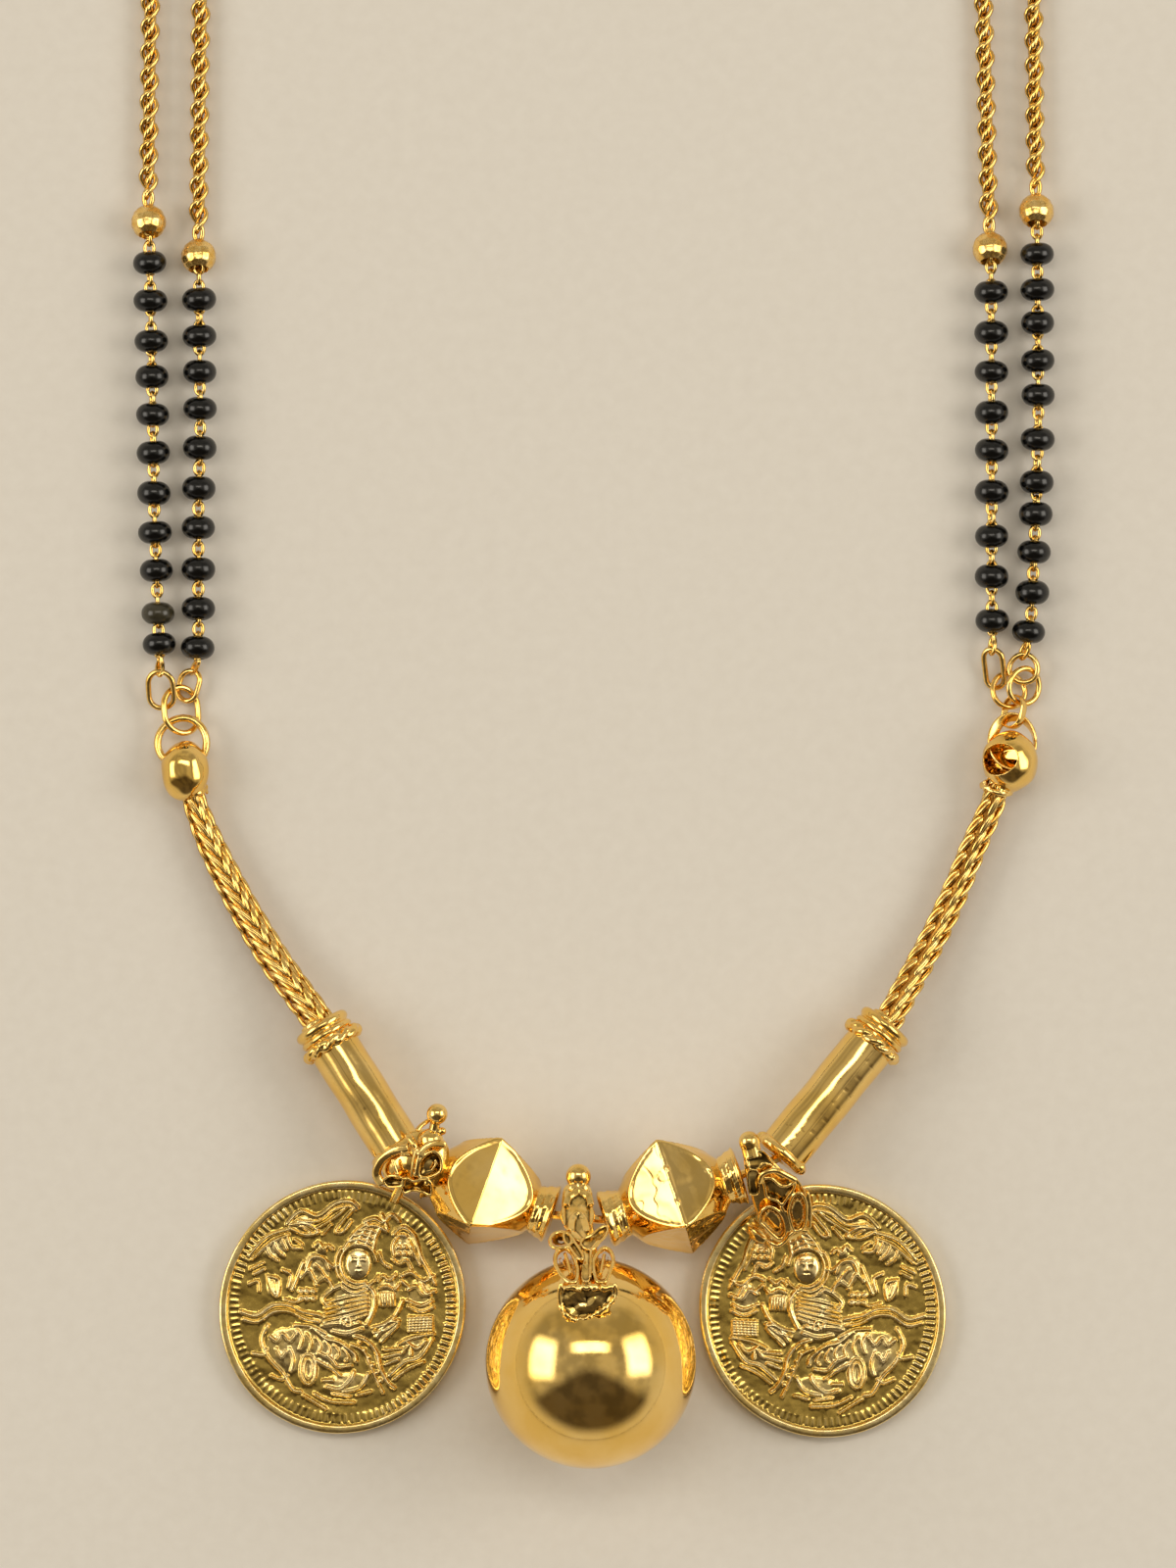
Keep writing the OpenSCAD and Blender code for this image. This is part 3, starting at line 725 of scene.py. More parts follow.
def thinned(thing, share):
    """Shape of a thing with that share of its faces, taken away where it is flattest."""
    thin = thing.modifiers.new("thin", "DECIMATE")
    thin.ratio = share
    return worked(thing)


def melted(shape, cell, passes):
    """Runs touching parts together as solder and casting do, with soft edges."""
    thing = object_of(shape)
    skin = thing.modifiers.new("skin", "REMESH")
    skin.mode = "VOXEL"
    skin.voxel_size = cell
    soft = thing.modifiers.new("soft", "SMOOTH")
    soft.factor, soft.iterations = 0.5, passes
    return thinned(thing, 0.3)


def dome(centre, r, squash=1.0):
    """Ball or button of metal."""
    shape = bmesh.new()
    bmesh.ops.create_uvsphere(shape, u_segments=28, v_segments=18, radius=r)
    bmesh.ops.scale(shape, vec=(1, 1, squash), verts=shape.verts)
    bmesh.ops.translate(shape, vec=centre, verts=shape.verts)
    return shape


def ring_run(r, z, steps=64):
    """Points round a level circle."""
    return [Vector((r * math.cos(math.tau * i / steps), r * math.sin(math.tau * i / steps), z))
            for i in range(steps)]


def cap_shell(centre, r, half_l, mouth, neck, mouth_r, rng):
    """Egg of sheet with a collar where the chain leaves it, and flecks of solder round the collar."""
    egg = turned([(r * x, half_l * z) for x, z in arc(0, 0, 1, -90, 90, 36)]
                 + [((r - cap_wall) * x, (half_l - cap_wall) * z) for x, z in arc(0, 0, 1, 90, -90, 30)], 72)
    for vert in egg.verts:
        vert.co *= 1 + 0.12 * noise.noise(vert.co * 0.7 + Vector((r, 4, 1))) / r
    egg.transform(along(centre, centre - Vector((0, 1, 0))))
    collar = [wires([ring_run(mouth_r + 0.06, 0, 40)], collar_wire_r, fine=3,
                    swell=lambda t: 1 + 0.3 * math.sin(17 * t))]
    for _ in range(fleck_count):
        turn = math.radians(rng.uniform(0, 360))
        spot = Vector((math.cos(turn), math.sin(turn), 0)) * (mouth_r + 0.04)
        collar.append(dome(spot + Vector((0, 0, rng.uniform(-0.45, 0.2))), rng.uniform(0.12, 0.26)))
    collar = join(collar)
    collar.transform(along(mouth, neck))
    return join([egg, collar])


# Centre, radius and half length of each egg, and where the chain leaves it
cap_rows = {
    "left": (at(-33.2, 56.62, 1.98), 1.97, 2.48, at(-32.52, 54.85, 1.64), at(-32.27, 53.8, 1.5), 1.06),
    "right": (at(34.05, 57.4, 2.32), 2.3, 2.5, at(33, 55.15, 1.9), at(32.65, 53.9, 1.63), 1.2),
}
for side, row in cap_rows.items():
    centre, mouth, neck, mouth_r = row[0], *row[3:]
    ring_row = ring_rows[side + "_cap_ring"]
    channel = oval_ring(ring_row, ring_row[8] / 2 + cap_channel[side])
    channel.transform(ring_place(ring_row))
    bore = turned([(0, -1.6), (mouth_r - 0.02, -1.6), (mouth_r - 0.02, 1.6), (0, 1.6)], 40)
    bore.transform(along(mouth, neck))
    shell = cut(cut(melted(cap_shell(*row, random.Random(side)), 0.06, 2), channel), bore)
    if side == "right":
        window = bmesh.new()
        bmesh.ops.create_cone(window, cap_ends=True, segments=32, radius1=1.05, radius2=1.5, depth=4)
        bmesh.ops.scale(window, vec=(1, 1.3, 1), verts=window.verts)
        window.transform(along(centre, centre + Vector((-0.5, 0.1, 0.86))) @ Matrix.Rotation(-1.2, 4, "Z")
                         @ Matrix.Translation((0, 0, 2)))
        shell = cut(shell, window)
    node = side + "_end_cap"
    piece(node, melted(shell, 0.055, 3), burnished_gold, [node])

# Woven chains
# Foxtail chains of doubled wire loops, each pulled through the two before it, so the loops lie in
# slanting columns round a hollow rope. They run from the caps into the tube beads.
woven_pitch = 1.63
woven_wire_r = 0.19
woven_dip = 0.14
woven_bow = 1.7
woven_core_share = 0.7
# Each chain's line from its cap down, as (x, h, z, radius)
woven_rows = {
    "left": [(-32.85, 56, 1.8, 1), (-32.3, 53.9, 1.5, 1.05), (-31, 50.6, 1.3, 1.22),
             (-29.1, 46.8, 1.35, 1.32), (-27.3, 43.6, 1.5, 1.38), (-25.4, 40.6, 1.95, 1.4),
             (-23.5, 38, 2.6, 1.4), (-22.4, 36.5, 2.83, 1.4), (-21.72, 35.34, 2.92, 1.3)],
    "right": [(33.2, 55.9, 1.95, 1.12), (32.65, 53.9, 1.63, 1.18), (31.2, 50.6, 1.38, 1.28),
              (29.9, 47.4, 1.34, 1.3), (28.5, 44.3, 1.45, 1.32), (27, 41.4, 1.85, 1.34),
              (25.3, 38.3, 2.55, 1.36), (24.3, 36.5, 2.83, 1.36), (23.53, 35.41, 2.92, 1.3)],
}
# Columns of loops: how far out a loop starts and ends as a share of the radius, top or underside, its share
# of a pitch along the chain, its length in pitches, how far its two wires spread, and how deep the lower one
# lies, or both where the depth is below 0
woven_columns = {
    "left": [(-0.8, 0.08, 1, 0.52, 1.75, 0.07, 0), (-0.8, 0.06, 1, 1.02, 1.75, 0.1, -0.26),
             (-1, -0.96, 1, 0, 1.15, 0.05, 0), (0.52, 0.2, 1, 0.25, 1.15, 0.05, 0),
             (0.78, 0.62, 1, 0.75, 1.15, 0.05, -0.14), (0.98, 0.88, 1, 0.6, 1.15, 0.06, 0),
             (-0.8, 0.1, -1, 0, 1.7, 0.22, 0), (0.8, 0.2, -1, 0.5, 1.5, 0.22, 0)],
    "right": [(-0.42, -0.96, 1, 0, 1.4, 0.3, 0.1), (0.36, 0.08, 1, 0.6, 1.3, 0.09, 0),
              (0.96, 0.46, 1, 0.93, 1.35, 0.21, 0.28), (-0.8, 0.1, -1, 0, 1.7, 0.22, 0),
              (0.8, 0.2, -1, 0.5, 1.5, 0.22, 0)],
}


def woven_chain(side):
    """Loops of one woven chain on a core in painted shade."""
    rows = list(reversed(woven_rows[side]))
    points = flowing([at(*row[:3]) for row in rows], 6)
    radii = np.interp(np.linspace(0, len(rows) - 1, len(points)), range(len(rows)), [row[3] for row in rows])
    route = Route(points, radii)
    loops = []
    for first, last, face, share, reach, width, deep in woven_columns[side]:
        for i in range(-2, int(route.length / woven_pitch) + 1):
            top = route.length - (i + share) * woven_pitch

            def line(t, spread):
                s = min(max(top - reach * woven_pitch * t, 0), route.length)
                r = route.radius(s) - woven_wire_r - woven_dip * (2 * t - 1) ** 2
                r -= max(-deep, 0) + max(deep, 0) * (spread < 0)
                swing = first + (last - first) * (1 - (1 - t) ** woven_bow)
                across = face * math.acos(swing) - spread / r
                return route.spot(s, r * math.cos(across), r * math.sin(across))

            if 0 < top - 0.5 * reach * woven_pitch < route.length:
                loops.append(link_loop(line, width))
    node = side + "_woven_chain"
    piece(node, wires(loops, woven_wire_r), drawn_gold, [node])
    # The core is painted shade: dark gold where the inside of the hollow rope lies in shade
    core = wires([[route.place(s) for s in np.linspace(0, route.length, 24)]], 1, closed=False, fine=3,
                 swell=lambda t: woven_core_share * route.radius(t * route.length))
    piece(side + "_woven_core", core, painted_shade_gold, [node])


woven_chain("left")
woven_chain("right")

# Tube beads
# Gold-plated drawn tube with scribed lines and ticks, a rope ring of two twisted wires, a collar at the
# mouth where the woven chain goes in, and a foot ring at the inner end.
tube_d = 4.2
tube_edge = 0.1
tube_rings = 100
rope_ring_r = 2.3
rope_wire_r = 0.33
rope_steps = 160
rope_turns = 6
foot_ring_r = 2.05
collar_r = 1.92
neck_ring_r = 2
dent_depth = 0.06
scribe_depth = 0.025
scribe_half_w = 0.07
socket_r = 1.5
socket_depth = 1.4
wire_hole = 1.3
# Foot and top of each tube
tube_places = {
    "left": (at(-15.5, 25.4, 3.8), at(-22.2, 36.1, 2.85)),
    "right": (at(15.1, 25.1, 4), at(24.1, 36.1, 2.85)),
}


def ridge_heights(x, y, lines):
    """Height that raised lines leave at the points x, y: each is round across and highest in its middle."""
    height = np.zeros_like(x)
    for half, line in lines:
        smooth = flowing([Vector(p) for p in line], 4) if len(line) > 2 else [Vector(p) for p in line]
        for a, b in zip(smooth, smooth[1:]):
            step = b - a
            t = np.clip(((x - a.x) * step.x + (y - a.y) * step.y) / max(step.length_squared, 1e-9), 0, 1)
            gap = np.hypot(x - a.x - t * step.x, y - a.y - t * step.y) / half
            height = np.maximum(height, np.clip(1 - gap ** 1.4, 0, 1) * min(1, half / 0.15))
    return height


# Scribed strokes on each tube, as (angle round it, height from the foot)
scribed = {
    "left": [[(96, 2.6), (101, 10.2)], [(101, 4.5), (106, 4.6)], [(92, 6.6), (98, 6.7)]],
    "right": [[(76, 1), (78, 11.5)]] + [[(78, 3.4 + 1.45 * i), (46, 3.2 + 1.45 * i)] for i in range(6)]
    + [[(100, 1.6 + 0.7 * i), (82, 1.3 + 0.8 * i)] for i in range(4)] + [[(128, 2.4), (112, 2.7)]],
}


def with_painted_shade(material, layer, low, high, skin):
    """Paints shade on a gold: turns its colour towards a darker one where a value kept at the points of its
    mesh is high.
    """
    tree = material.node_tree
    shader = next(n for n in tree.nodes if n.type == "BSDF_PRINCIPLED")
    value = add_node(tree, "Attribute", attribute_name=layer).outputs["Fac"]
    plain = shader.inputs["Base Color"].links[0].from_socket
    tone = mixed(tree, ramp(tree, value, low, high), plain, srgb(skin))
    tree.links.new(tone, shader.inputs["Base Color"])
    return material


# The tubes are burnished as well, with painted shade, brown, in each scribed line
scribed_gold = with_painted_shade(gold("gold_plate_scribed_sheet", "#FDD887", "#F5CA6C", 4, 0.09, 3, 0.02, 0.25, 0.0015),
                       "groove", 0.1, 0.8, "#7A5A22")


def tube_bead(side):
    """Tube, rope ring, collar and foot ring of one side."""
    foot, top = tube_places[side]
    length = (top - foot).length
    r = tube_d / 2
    wall = [(r, tube_edge + (length - 2 * tube_edge) * i / tube_rings) for i in range(tube_rings + 1)]
    socket_end = length - socket_depth
    shape = turned([(wire_hole / 2, 0), (r - tube_edge, 0), *wall, (r - tube_edge, length),
                    (socket_r, length), (socket_r, socket_end), (wire_hole / 2, socket_end)], 180)
    # Depth of the scribed lines, which also masks their painted shade
    layer = shape.verts.layers.float.new("groove")
    place = along(foot, top)
    ahead = (top - foot).normalized()
    right = ahead.cross(Vector((0, 0, 1))).normalized()
    up = place.to_3x3().inverted() @ right.cross(ahead)
    right = place.to_3x3().inverted() @ right
    skin = [v for v in shape.verts if v.co.xy.length > r - tube_edge / 2]
    turn = np.array([math.atan2(v.co.dot(up), v.co.dot(right)) for v in skin])
    grooves = ridge_heights(turn * r, np.array([v.co.z for v in skin]),
                            [(scribe_half_w, [(math.radians(a) * r, z) for a, z in line])
                             for line in scribed[side]])
    for vert, groove in zip(skin, grooves):
        dent = dent_depth * noise.noise(vert.co * 0.4 + Vector((7, 3, 1)))
        vert.co.xy *= 1 + (dent - scribe_depth * float(groove)) / r
        vert[layer] = float(groove)
    rng = random.Random(side)
    twist = [[], []]
    for i in range(rope_steps):
        a = math.tau * i / rope_steps
        for k, run in enumerate(twist):
            b = rope_turns * a + math.pi * k
            bow = rope_ring_r + 0.14 * math.cos(b)
            run.append(Vector((bow * math.cos(a), bow * math.sin(a), length - 2 + 0.2 * math.sin(b))))
    lumps = [rng.uniform(0.75, 1.12) for _ in range(24)]
    curl = [ring_run(1.75, length + 0.1, 48)[k] + Vector((0, 0, 0.012 * (k - 20) ** 2 / 8))
            for k in range(16, 26)]
    rings = [wires(twist, rope_wire_r, fine=3, swell=lambda t: lumps[int(t * 23)]),
             wires([ring_run(foot_ring_r, 0.5)], 0.5, fine=4, swell=lambda t: lumps[int(t * 23)]),
             wires([ring_run(collar_r, length - 0.4)], 0.42, fine=4,
                   swell=lambda t: 1 + 0.1 * math.sin(9 * t)),
             wires([ring_run(neck_ring_r, length - 1.15)], 0.3, fine=4),
             wires([curl], 0.28, closed=False, fine=3, swell=lambda t: math.sin(math.pi * (0.1 + 0.8 * t)))]
    shape = join([shape, melted(join(rings), 0.06, 2)])
    shape.transform(place)
    node = side + "_tube_bead"
    piece(node, shape, scribed_gold, [node])


tube_bead("left")
tube_bead("right")

# Faceted beads
# Gold-plated sheet pressed over a die: a double cone with four almond panels, a raised seam round each, and
# a flared collar at each end. Handling has left dents in the panels.
facet_corner_r = 5.5
facet_ridge_r = 3.85
shoulder_slope = 0.6
shoulder_bow = 0.06
# How fast the panels close in on the axis, before the equator and after it
panel_slope = {"left": (0.26, 0.42), "right": (0.36, 0.35)}
body_half = 4.2
seam_h = 0.1
seam_w = 0.16
neck_r = 1.85
flare_r = 2.4
flare_lip = 0.3
rib_pitch = 0.62
rib_h = 0.04
facet_rings = 140
# Start and end on the stringing wire, the equator's distance from the start, and the panels' turn
facet_rows = {
    "left": (at(-13.4, 24.1, 4.4), at(-3.1, 20.5, 4.85), 5, -12),
    "right": (at(0.9, 20.1, 5.05), at(12.2, 23.8, 4.8), 6.1, -18),
}


def facet_radius(angle, z, spin, side):
    """Radius of the bead at an angle and a height from its equator. The right bead is the more worn:
    one half of each panel is creased and the other dented, and solder beads the ridge between them."""
    turn = (angle - math.radians(spin)) % (math.pi / 2)
    turn = min(turn, math.pi / 2 - turn)
    cone = facet_corner_r - shoulder_slope * abs(z) - shoulder_bow * z * z
    slope = panel_slope[side][z > 0]
    panel = (facet_ridge_r - slope * abs(z)) / math.cos(turn)
    seam = math.exp(-((cone - panel) / seam_w) ** 2)
    spot = Vector((math.cos(angle) * 2.4, math.sin(angle) * 2.4, z * 0.6))
    wear = 0.03 * noise.noise(spot * 0.8) + 0.012 * noise.noise(spot * 2.1)
    if side == "right" and panel < cone - 0.15:
        crease = math.exp(-(noise.noise(spot * 1.2 + Vector((4, 2, 7))) / 0.04) ** 2)
        dent = noise.noise(spot * 1.3 + Vector((9, 4, 6)))
        wear += 0.025 * crease * (z < 0) - dent * (0.03 + 0.07 * min(1, max(z, 0)))
        bead = noise.noise(Vector((angle * 9, 3, 0)))
        wear += math.exp(-((z - 0.1) / 0.17) ** 2) * (0.1 + 0.3 * max(0, bead))
    return min(cone, panel) + seam_h * seam + wear


def faceted_bead(side):
    """Body and collars in one skin, turned and then pressed to shape."""
    start, end, first, spin = facet_rows[side]
    total = (end - start).length
    low, high = -first + 0.05, total - first - 0.05
    heights = [low + (high - low) * i / facet_rings for i in range(facet_rings + 1)]
    shape = turned([(wire_hole / 2, low), *((1.5, z) for z in heights), (wire_hole / 2, high)], 200)
    for vert in shape.verts:
        if vert.co.xy.length > 1.2:
            angle, z = math.atan2(vert.co.y, vert.co.x), vert.co.z
            far = high if z > 0 else -low
            collar = neck_r + (flare_r - neck_r) * max(0, (abs(z) - body_half) / (far - body_half)) ** 0.7
            if abs(z) > far - flare_lip:
                collar = flare_r - 0.4 * ((abs(z) - far + flare_lip) / flare_lip) ** 3
            # Ribs run round the collar, with notches cut across them
            notch = 0.5 + 0.5 * math.tanh(6 * math.cos(11 * angle + 3 * z))
            collar += rib_h * math.cos(z * math.tau / rib_pitch) - rib_h * notch * (abs(z) < far - 0.5)
            body = facet_radius(angle, z, spin, side) if abs(z) < body_half + 0.1 else 0
            r = max(collar, body)
            vert.co.xy = vert.co.xy.normalized() * r
    shape.transform(along(start, end) @ Matrix.Translation((0, 0, first)))
    node = side + "_faceted_bead"
    piece(node, shape, burnished_gold, [node])


faceted_bead("left")
faceted_bead("right")

# Stringing wire
# One stiff wire carries tubes, bails and faceted beads; it shows only in the gaps between them.
wire_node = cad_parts["stringing_wire"]
wire_node.data.materials.clear()
wire_node.data.materials.append(drawn_gold)

# Ball pendant
# Two domes of gold-plated sheet soldered to a ball and mirror-polished. On its shoulder stands a cast bail:
# a barrel on the stringing wire with crossed straps and a domed finial, a folded ribbon, and two cupped
# leaves over a solder foot.
ball_r = 8.56
ball_centre = at(-0.1, ball_r, ball_r)
# Cast and chased: the plain gold on all that stands out, and painted shade, dark brown, in the hollows
cast_gold = with_painted_shade(gold("gold_plate_cast_and_chased", "#FDDA8A", "#F3C86C", 0.8, 0.13, 0.5, 0.015, 0.12,
                         0.002),
                    "hollow", 0.0, 0.03, "#54431F")

ball = bmesh.new()
bmesh.ops.create_uvsphere(ball, u_segments=144, v_segments=96, radius=ball_r)
for vert in ball.verts:
    vert.co *= 1 + 0.012 * noise.noise(vert.co * 0.22) / ball_r
bmesh.ops.translate(ball, vec=ball_centre, verts=ball.verts)
piece("ball", ball, burnished_gold, ["ball_pendant"])


def raised(lift, rise):
    """The same lift, that much higher."""
    return lambda x, h: lift(x, h) + rise


def dish(outline, lift, sink, under=0.3, rim=0.0):
    """Cupped leaf of sheet inside an outline of (x, h): its lip is rounded and its middle sunk,
    or raised where sink is below 0. Lift gives its height at (x, h), under its thickness
    and rim the radius of a roll of metal round its edge."""
    corners = [Vector(p) for p in outline]
    ring = flowing(corners[-1:] + corners + corners[:2], 5)[5:-6]
    middle = sum(ring, Vector((0, 0))) / len(ring)
    lip = [(0.86, -0.25 * sink), (0.9, 0.05), (0.94, 0.1), (0.98, 0.07), (1, -0.02)]
    if sink < 0:
        lip = [(0.8, -0.45 * sink), (0.92, -0.2 * sink), (1, -0.05)]
    shape = turned([(0, -sink), (0.3, -0.93 * sink), (0.55, -0.75 * sink), (0.74, -0.5 * sink), *lip,
                    (0.96, -under), (0, -under - max(sink, 0))], len(ring))
    for vert in shape.verts:
        share = vert.co.xy.length
        k = round(math.atan2(vert.co.y, vert.co.x) / math.tau * len(ring)) % len(ring)
        spot = middle.lerp(ring[k], share)
        vert.co = at(spot.x, spot.y, lift(spot.x, spot.y) + vert.co.z)
    if rim:
        roll = [middle.lerp(p, 0.96) for p in ring]
        shape = join([shape, wires([[at(p.x, p.y, lift(p.x, p.y) + 0.04) for p in roll]], rim, fine=3)])
    return shape


def hollowed(shape):
    """Marks how deep each point lies in a hollow, for the painted shade there: how far smoothing lifts it off
    the surface.
    """
    layer = shape.verts.layers.float.new("hollow")
    shape.normal_update()
    start = [(v, v.co.copy(), v.normal.copy()) for v in shape.verts]
    for _ in range(12):
        bmesh.ops.smooth_vert(shape, verts=shape.verts, factor=0.5, use_axis_x=True, use_axis_y=True,
                              use_axis_z=True)
    for vert, place, normal in start:
        vert[layer] = (vert.co - place).dot(normal)
        vert.co = place
    return shape


def laid(points, lift, rise=0.0):
    """Smooth run of points given as (x, h), laid at a height over the lift."""
    return [at(p.x, p.y, lift(p.x, p.y) + rise) for p in flowing([Vector(p) for p in points], 6)]


def strand_on(lift, rise, r, *lines, fine=2, **kind):
    """Open wires of one thickness along lines of (x, h), laid at a height over the lift."""
    return wires([laid(line, lift, rise) for line in lines], r, closed=False, fine=fine, **kind)


def rod(a, b, r, fine=3):
    """Straight rod from a to b."""
    return wires([[a, b]], r, closed=False, fine=fine)


def solder(points, lift, r, seed):
    """Run of solder that beaded as it cooled: it wanders and its thickness changes."""
    rng = random.Random(seed)
    run = [p + Vector((0, rng.uniform(-0.1, 0.1), 0)) for p in laid(points, lift, 0.05)]
    beads = [rng.uniform(0.55, 1.5) for _ in range(60)]
    return wires([run], r, closed=False, fine=3, swell=lambda t: beads[int(t * 50)])


def mid_lift(x, h):
    """Height of the bail's face: level over the foot, then down the back of the shoulder to the wire."""
    return float(np.interp(h, [12, 14.9, 16, 17.5, 19, 20.5, 21.5, 23, 24.5],
                           [16.25, 15.95, 14.9, 13.2, 11.3, 9.3, 8.2, 7.2, 6.6]))


def foot_lift(x, h):
    """Height of the solder pad: it leans towards the ball's far side and is lumpy."""
    return 16.1 + 0.2 * (h - 12.5) + 0.25 * noise.noise(Vector((x * 1.3, h * 1.3, 0)))


wire_mid = at(-1.1, 20.3, 4.95)
spine = [at(x, h, mid_lift(x, h) - 1.2) for x, h in
         ((-1.1, 23), (-1.1, 21.5), (-0.9, 19.5), (-0.6, 17.5), (-0.4, 16), (-0.3, 14.5))]
barrel = turned([(0.75, -0.9), *arc(1.35, 0, 0.9, -75, 75, 10), (0.75, 0.9)], 40)
barrel.transform(along(wire_mid, wire_mid + Vector((2, -0.2, 0.1))))
core = [
    barrel,
    wires([spine], 1, closed=False, fine=4, swell=lambda t: 0.95 + 0.25 * t),
    dome(at(-1.1, 23.7, 6.75), 1.03, 0.95),
    rod(at(-1.1, 23.6, 6.7), at(-1.15, 22.3, 6.9), 0.85, 4),
    dish([(-2.17, 22.9), (-2.42, 22), (-2.44, 21), (-2.3, 19.8), (-1.8, 19.3), (-0.2, 19.3), (0.06, 20.3),
          (0.06, 22), (-0.2, 22.9), (-1.15, 23.3)], mid_lift, -0.5, 1.2),
]
straps = [
    strand_on(mid_lift, 0.55, 0.16, [(-1.75, 22.9), (-1, 22.5), (-0.3, 22.1), (-0.1, 21.4)],
              [(-0.45, 22.9), (-1.1, 22.5), (-1.85, 22.05), (-2.1, 21.4)], flat=0.14),
    strand_on(mid_lift, 0.5, 0.15, [(-1.7, 19.4), (-1.6, 20.2), (-1.1, 20.65), (-0.65, 20.2), (-0.4, 19.3)],
              flat=0.16),
    strand_on(mid_lift, 0.4, 0.24, [(-2.28, 21.3), (-2.36, 20.6), (-2.2, 19.8)],
              [(-0.1, 21.3), (0.02, 20.6), (-0.1, 19.8)], swell=lambda t: 0.3 + 0.7 * math.sin(math.pi * t)),
]
foot_outline = [(-2.3, 14.95), (-0.3, 15), (1.65, 14.95), (1.8, 14.1), (0.95, 13.1), (-0.1, 12.6),
                (-1.2, 12.4), (-2.1, 12.7), (-2.6, 13.7)]
leaves = [
    # Left scroll and the bar that runs down from it
    dish([(-1.6, 18.5), (-1.75, 19), (-2.3, 19.3), (-3, 19.2), (-3.42, 18.7), (-3.25, 18.15), (-2.6, 17.98),
          (-1.95, 18.15)], raised(mid_lift, 0.7), 1.6, 0.3, 0.17),
    dish([(-2.3, 19.25), (-1.86, 19.15), (-1.28, 18.35), (-0.72, 17.45), (-0.8, 17.1), (-1.2, 17.3),
          (-1.82, 18.1), (-2.25, 18.65)], raised(mid_lift, 0.85), 0.3, 0.3, 0.12),
    # Right wing of the ribbon
    dish([(-0.7, 18.75), (0, 19.1), (0.6, 19.6), (1.15, 19.8), (1.32, 19.5), (1.1, 18.95), (0.6, 18.45),
          (0.15, 17.95), (-0.5, 17.95), (-0.95, 18.3)], raised(mid_lift, 0.7), 0.4, 0.3, 0.12),
    dish([(-1.73, 19.4), (-1.3, 19.35), (-0.9, 18.95), (-0.6, 18.7), (-1, 18.5), (-1.6, 18.9)],
         raised(mid_lift, 0.65), -0.25),
    # Stem and its edge
    dish([(-0.79, 18.1), (-0.2, 18.1), (-0.12, 17), (-0.16, 15.5), (-0.8, 15.44), (-0.83, 16.4),
          (-0.66, 17.2)], raised(mid_lift, 0.45), 0.1),
    strand_on(mid_lift, 0.7, 0.12, [(0.5, 18.6), (0.02, 18), (-0.12, 17.4), (-0.15, 15.7)]),
    # Two cupped leaves
    dish([(-2.44, 18.05), (-1.95, 18), (-1.46, 17.4), (-1.15, 16.4), (-1.25, 15.4), (-1.85, 15.3),
          (-2.6, 16), (-3.0, 16.85), (-2.93, 17.6)], raised(mid_lift, 0.45), 1.1, 0.3, 0.18),
    dish([(1, 18.1), (1.53, 17.8), (1.76, 17.05), (1.5, 16.2), (1.1, 15.35), (0.4, 15.35), (0.12, 16.2),
          (0.12, 17.05), (0.5, 17.7)], raised(mid_lift, 0.45), 1.1, 0.3, 0.17),
    strand_on(mid_lift, 0.1, 0.16, [(-2.2, 17.6), (-1.95, 16.9), (-1.7, 16)],
              [(1, 17.5), (0.85, 16.8), (0.7, 16)]),
    # Foot with its two runs of solder
    dish(foot_outline, foot_lift, 0.15, 2.4),
    solder([(-2.35, 14.9), (-1, 14.95), (0.3, 14.9), (1.7, 14.92)], foot_lift, 0.25, 3),
    solder([(-2.6, 13.8), (-2.4, 13.1), (-1.9, 12.6), (-1.1, 12.35), (-0.1, 12.6), (0.95, 13.15), (1.8, 14)],
           foot_lift, 0.19, 8),
    strand_on(foot_lift, 0.1, 0.16, [(-2.5, 15.3), (-2.65, 14.4), (-2.55, 13.5)],
              [(1.8, 15.3), (2, 14.7), (1.9, 14.1)]),
]
bail = melted(join([*core, *straps, *leaves]), 0.05, 2)
piece("ball_bail", hollowed(bail), cast_gold, ["ball_pendant"])

# Coin pendants
# Struck and gilt discs with a raised rim and a traditional seated figure under a canopy, attendants, a vase,
# animals and leaves. Each hangs by a bail with a little cast ornament of leaves under a domed knob.
coin_w = 20
coin_l = 20.8
coin_t = 1.1
rim_w = 0.7
rim_h = 0.3
relief_h = 0.21
wave_h = 0.05
field_r = 9.3
field_rings = 150
teeth = 110
coin_turn = 25
line_share = 1.2
coin_places = {"left": at(-20.34, 12.92, 0), "right": at(18.8, 12.6, 0)}
head = (1.3, 3.5)  # centre of the figure's head


def oval_line(x, y, half_w, half_h, first=0, last=360):
    """Points round an oval on the coin."""
    steps = 12
    turns = [math.radians(first + (last - first) * i / steps) for i in range(steps + 1)]
    return [(x + half_w * math.cos(a), y + half_h * math.sin(a)) for a in turns]


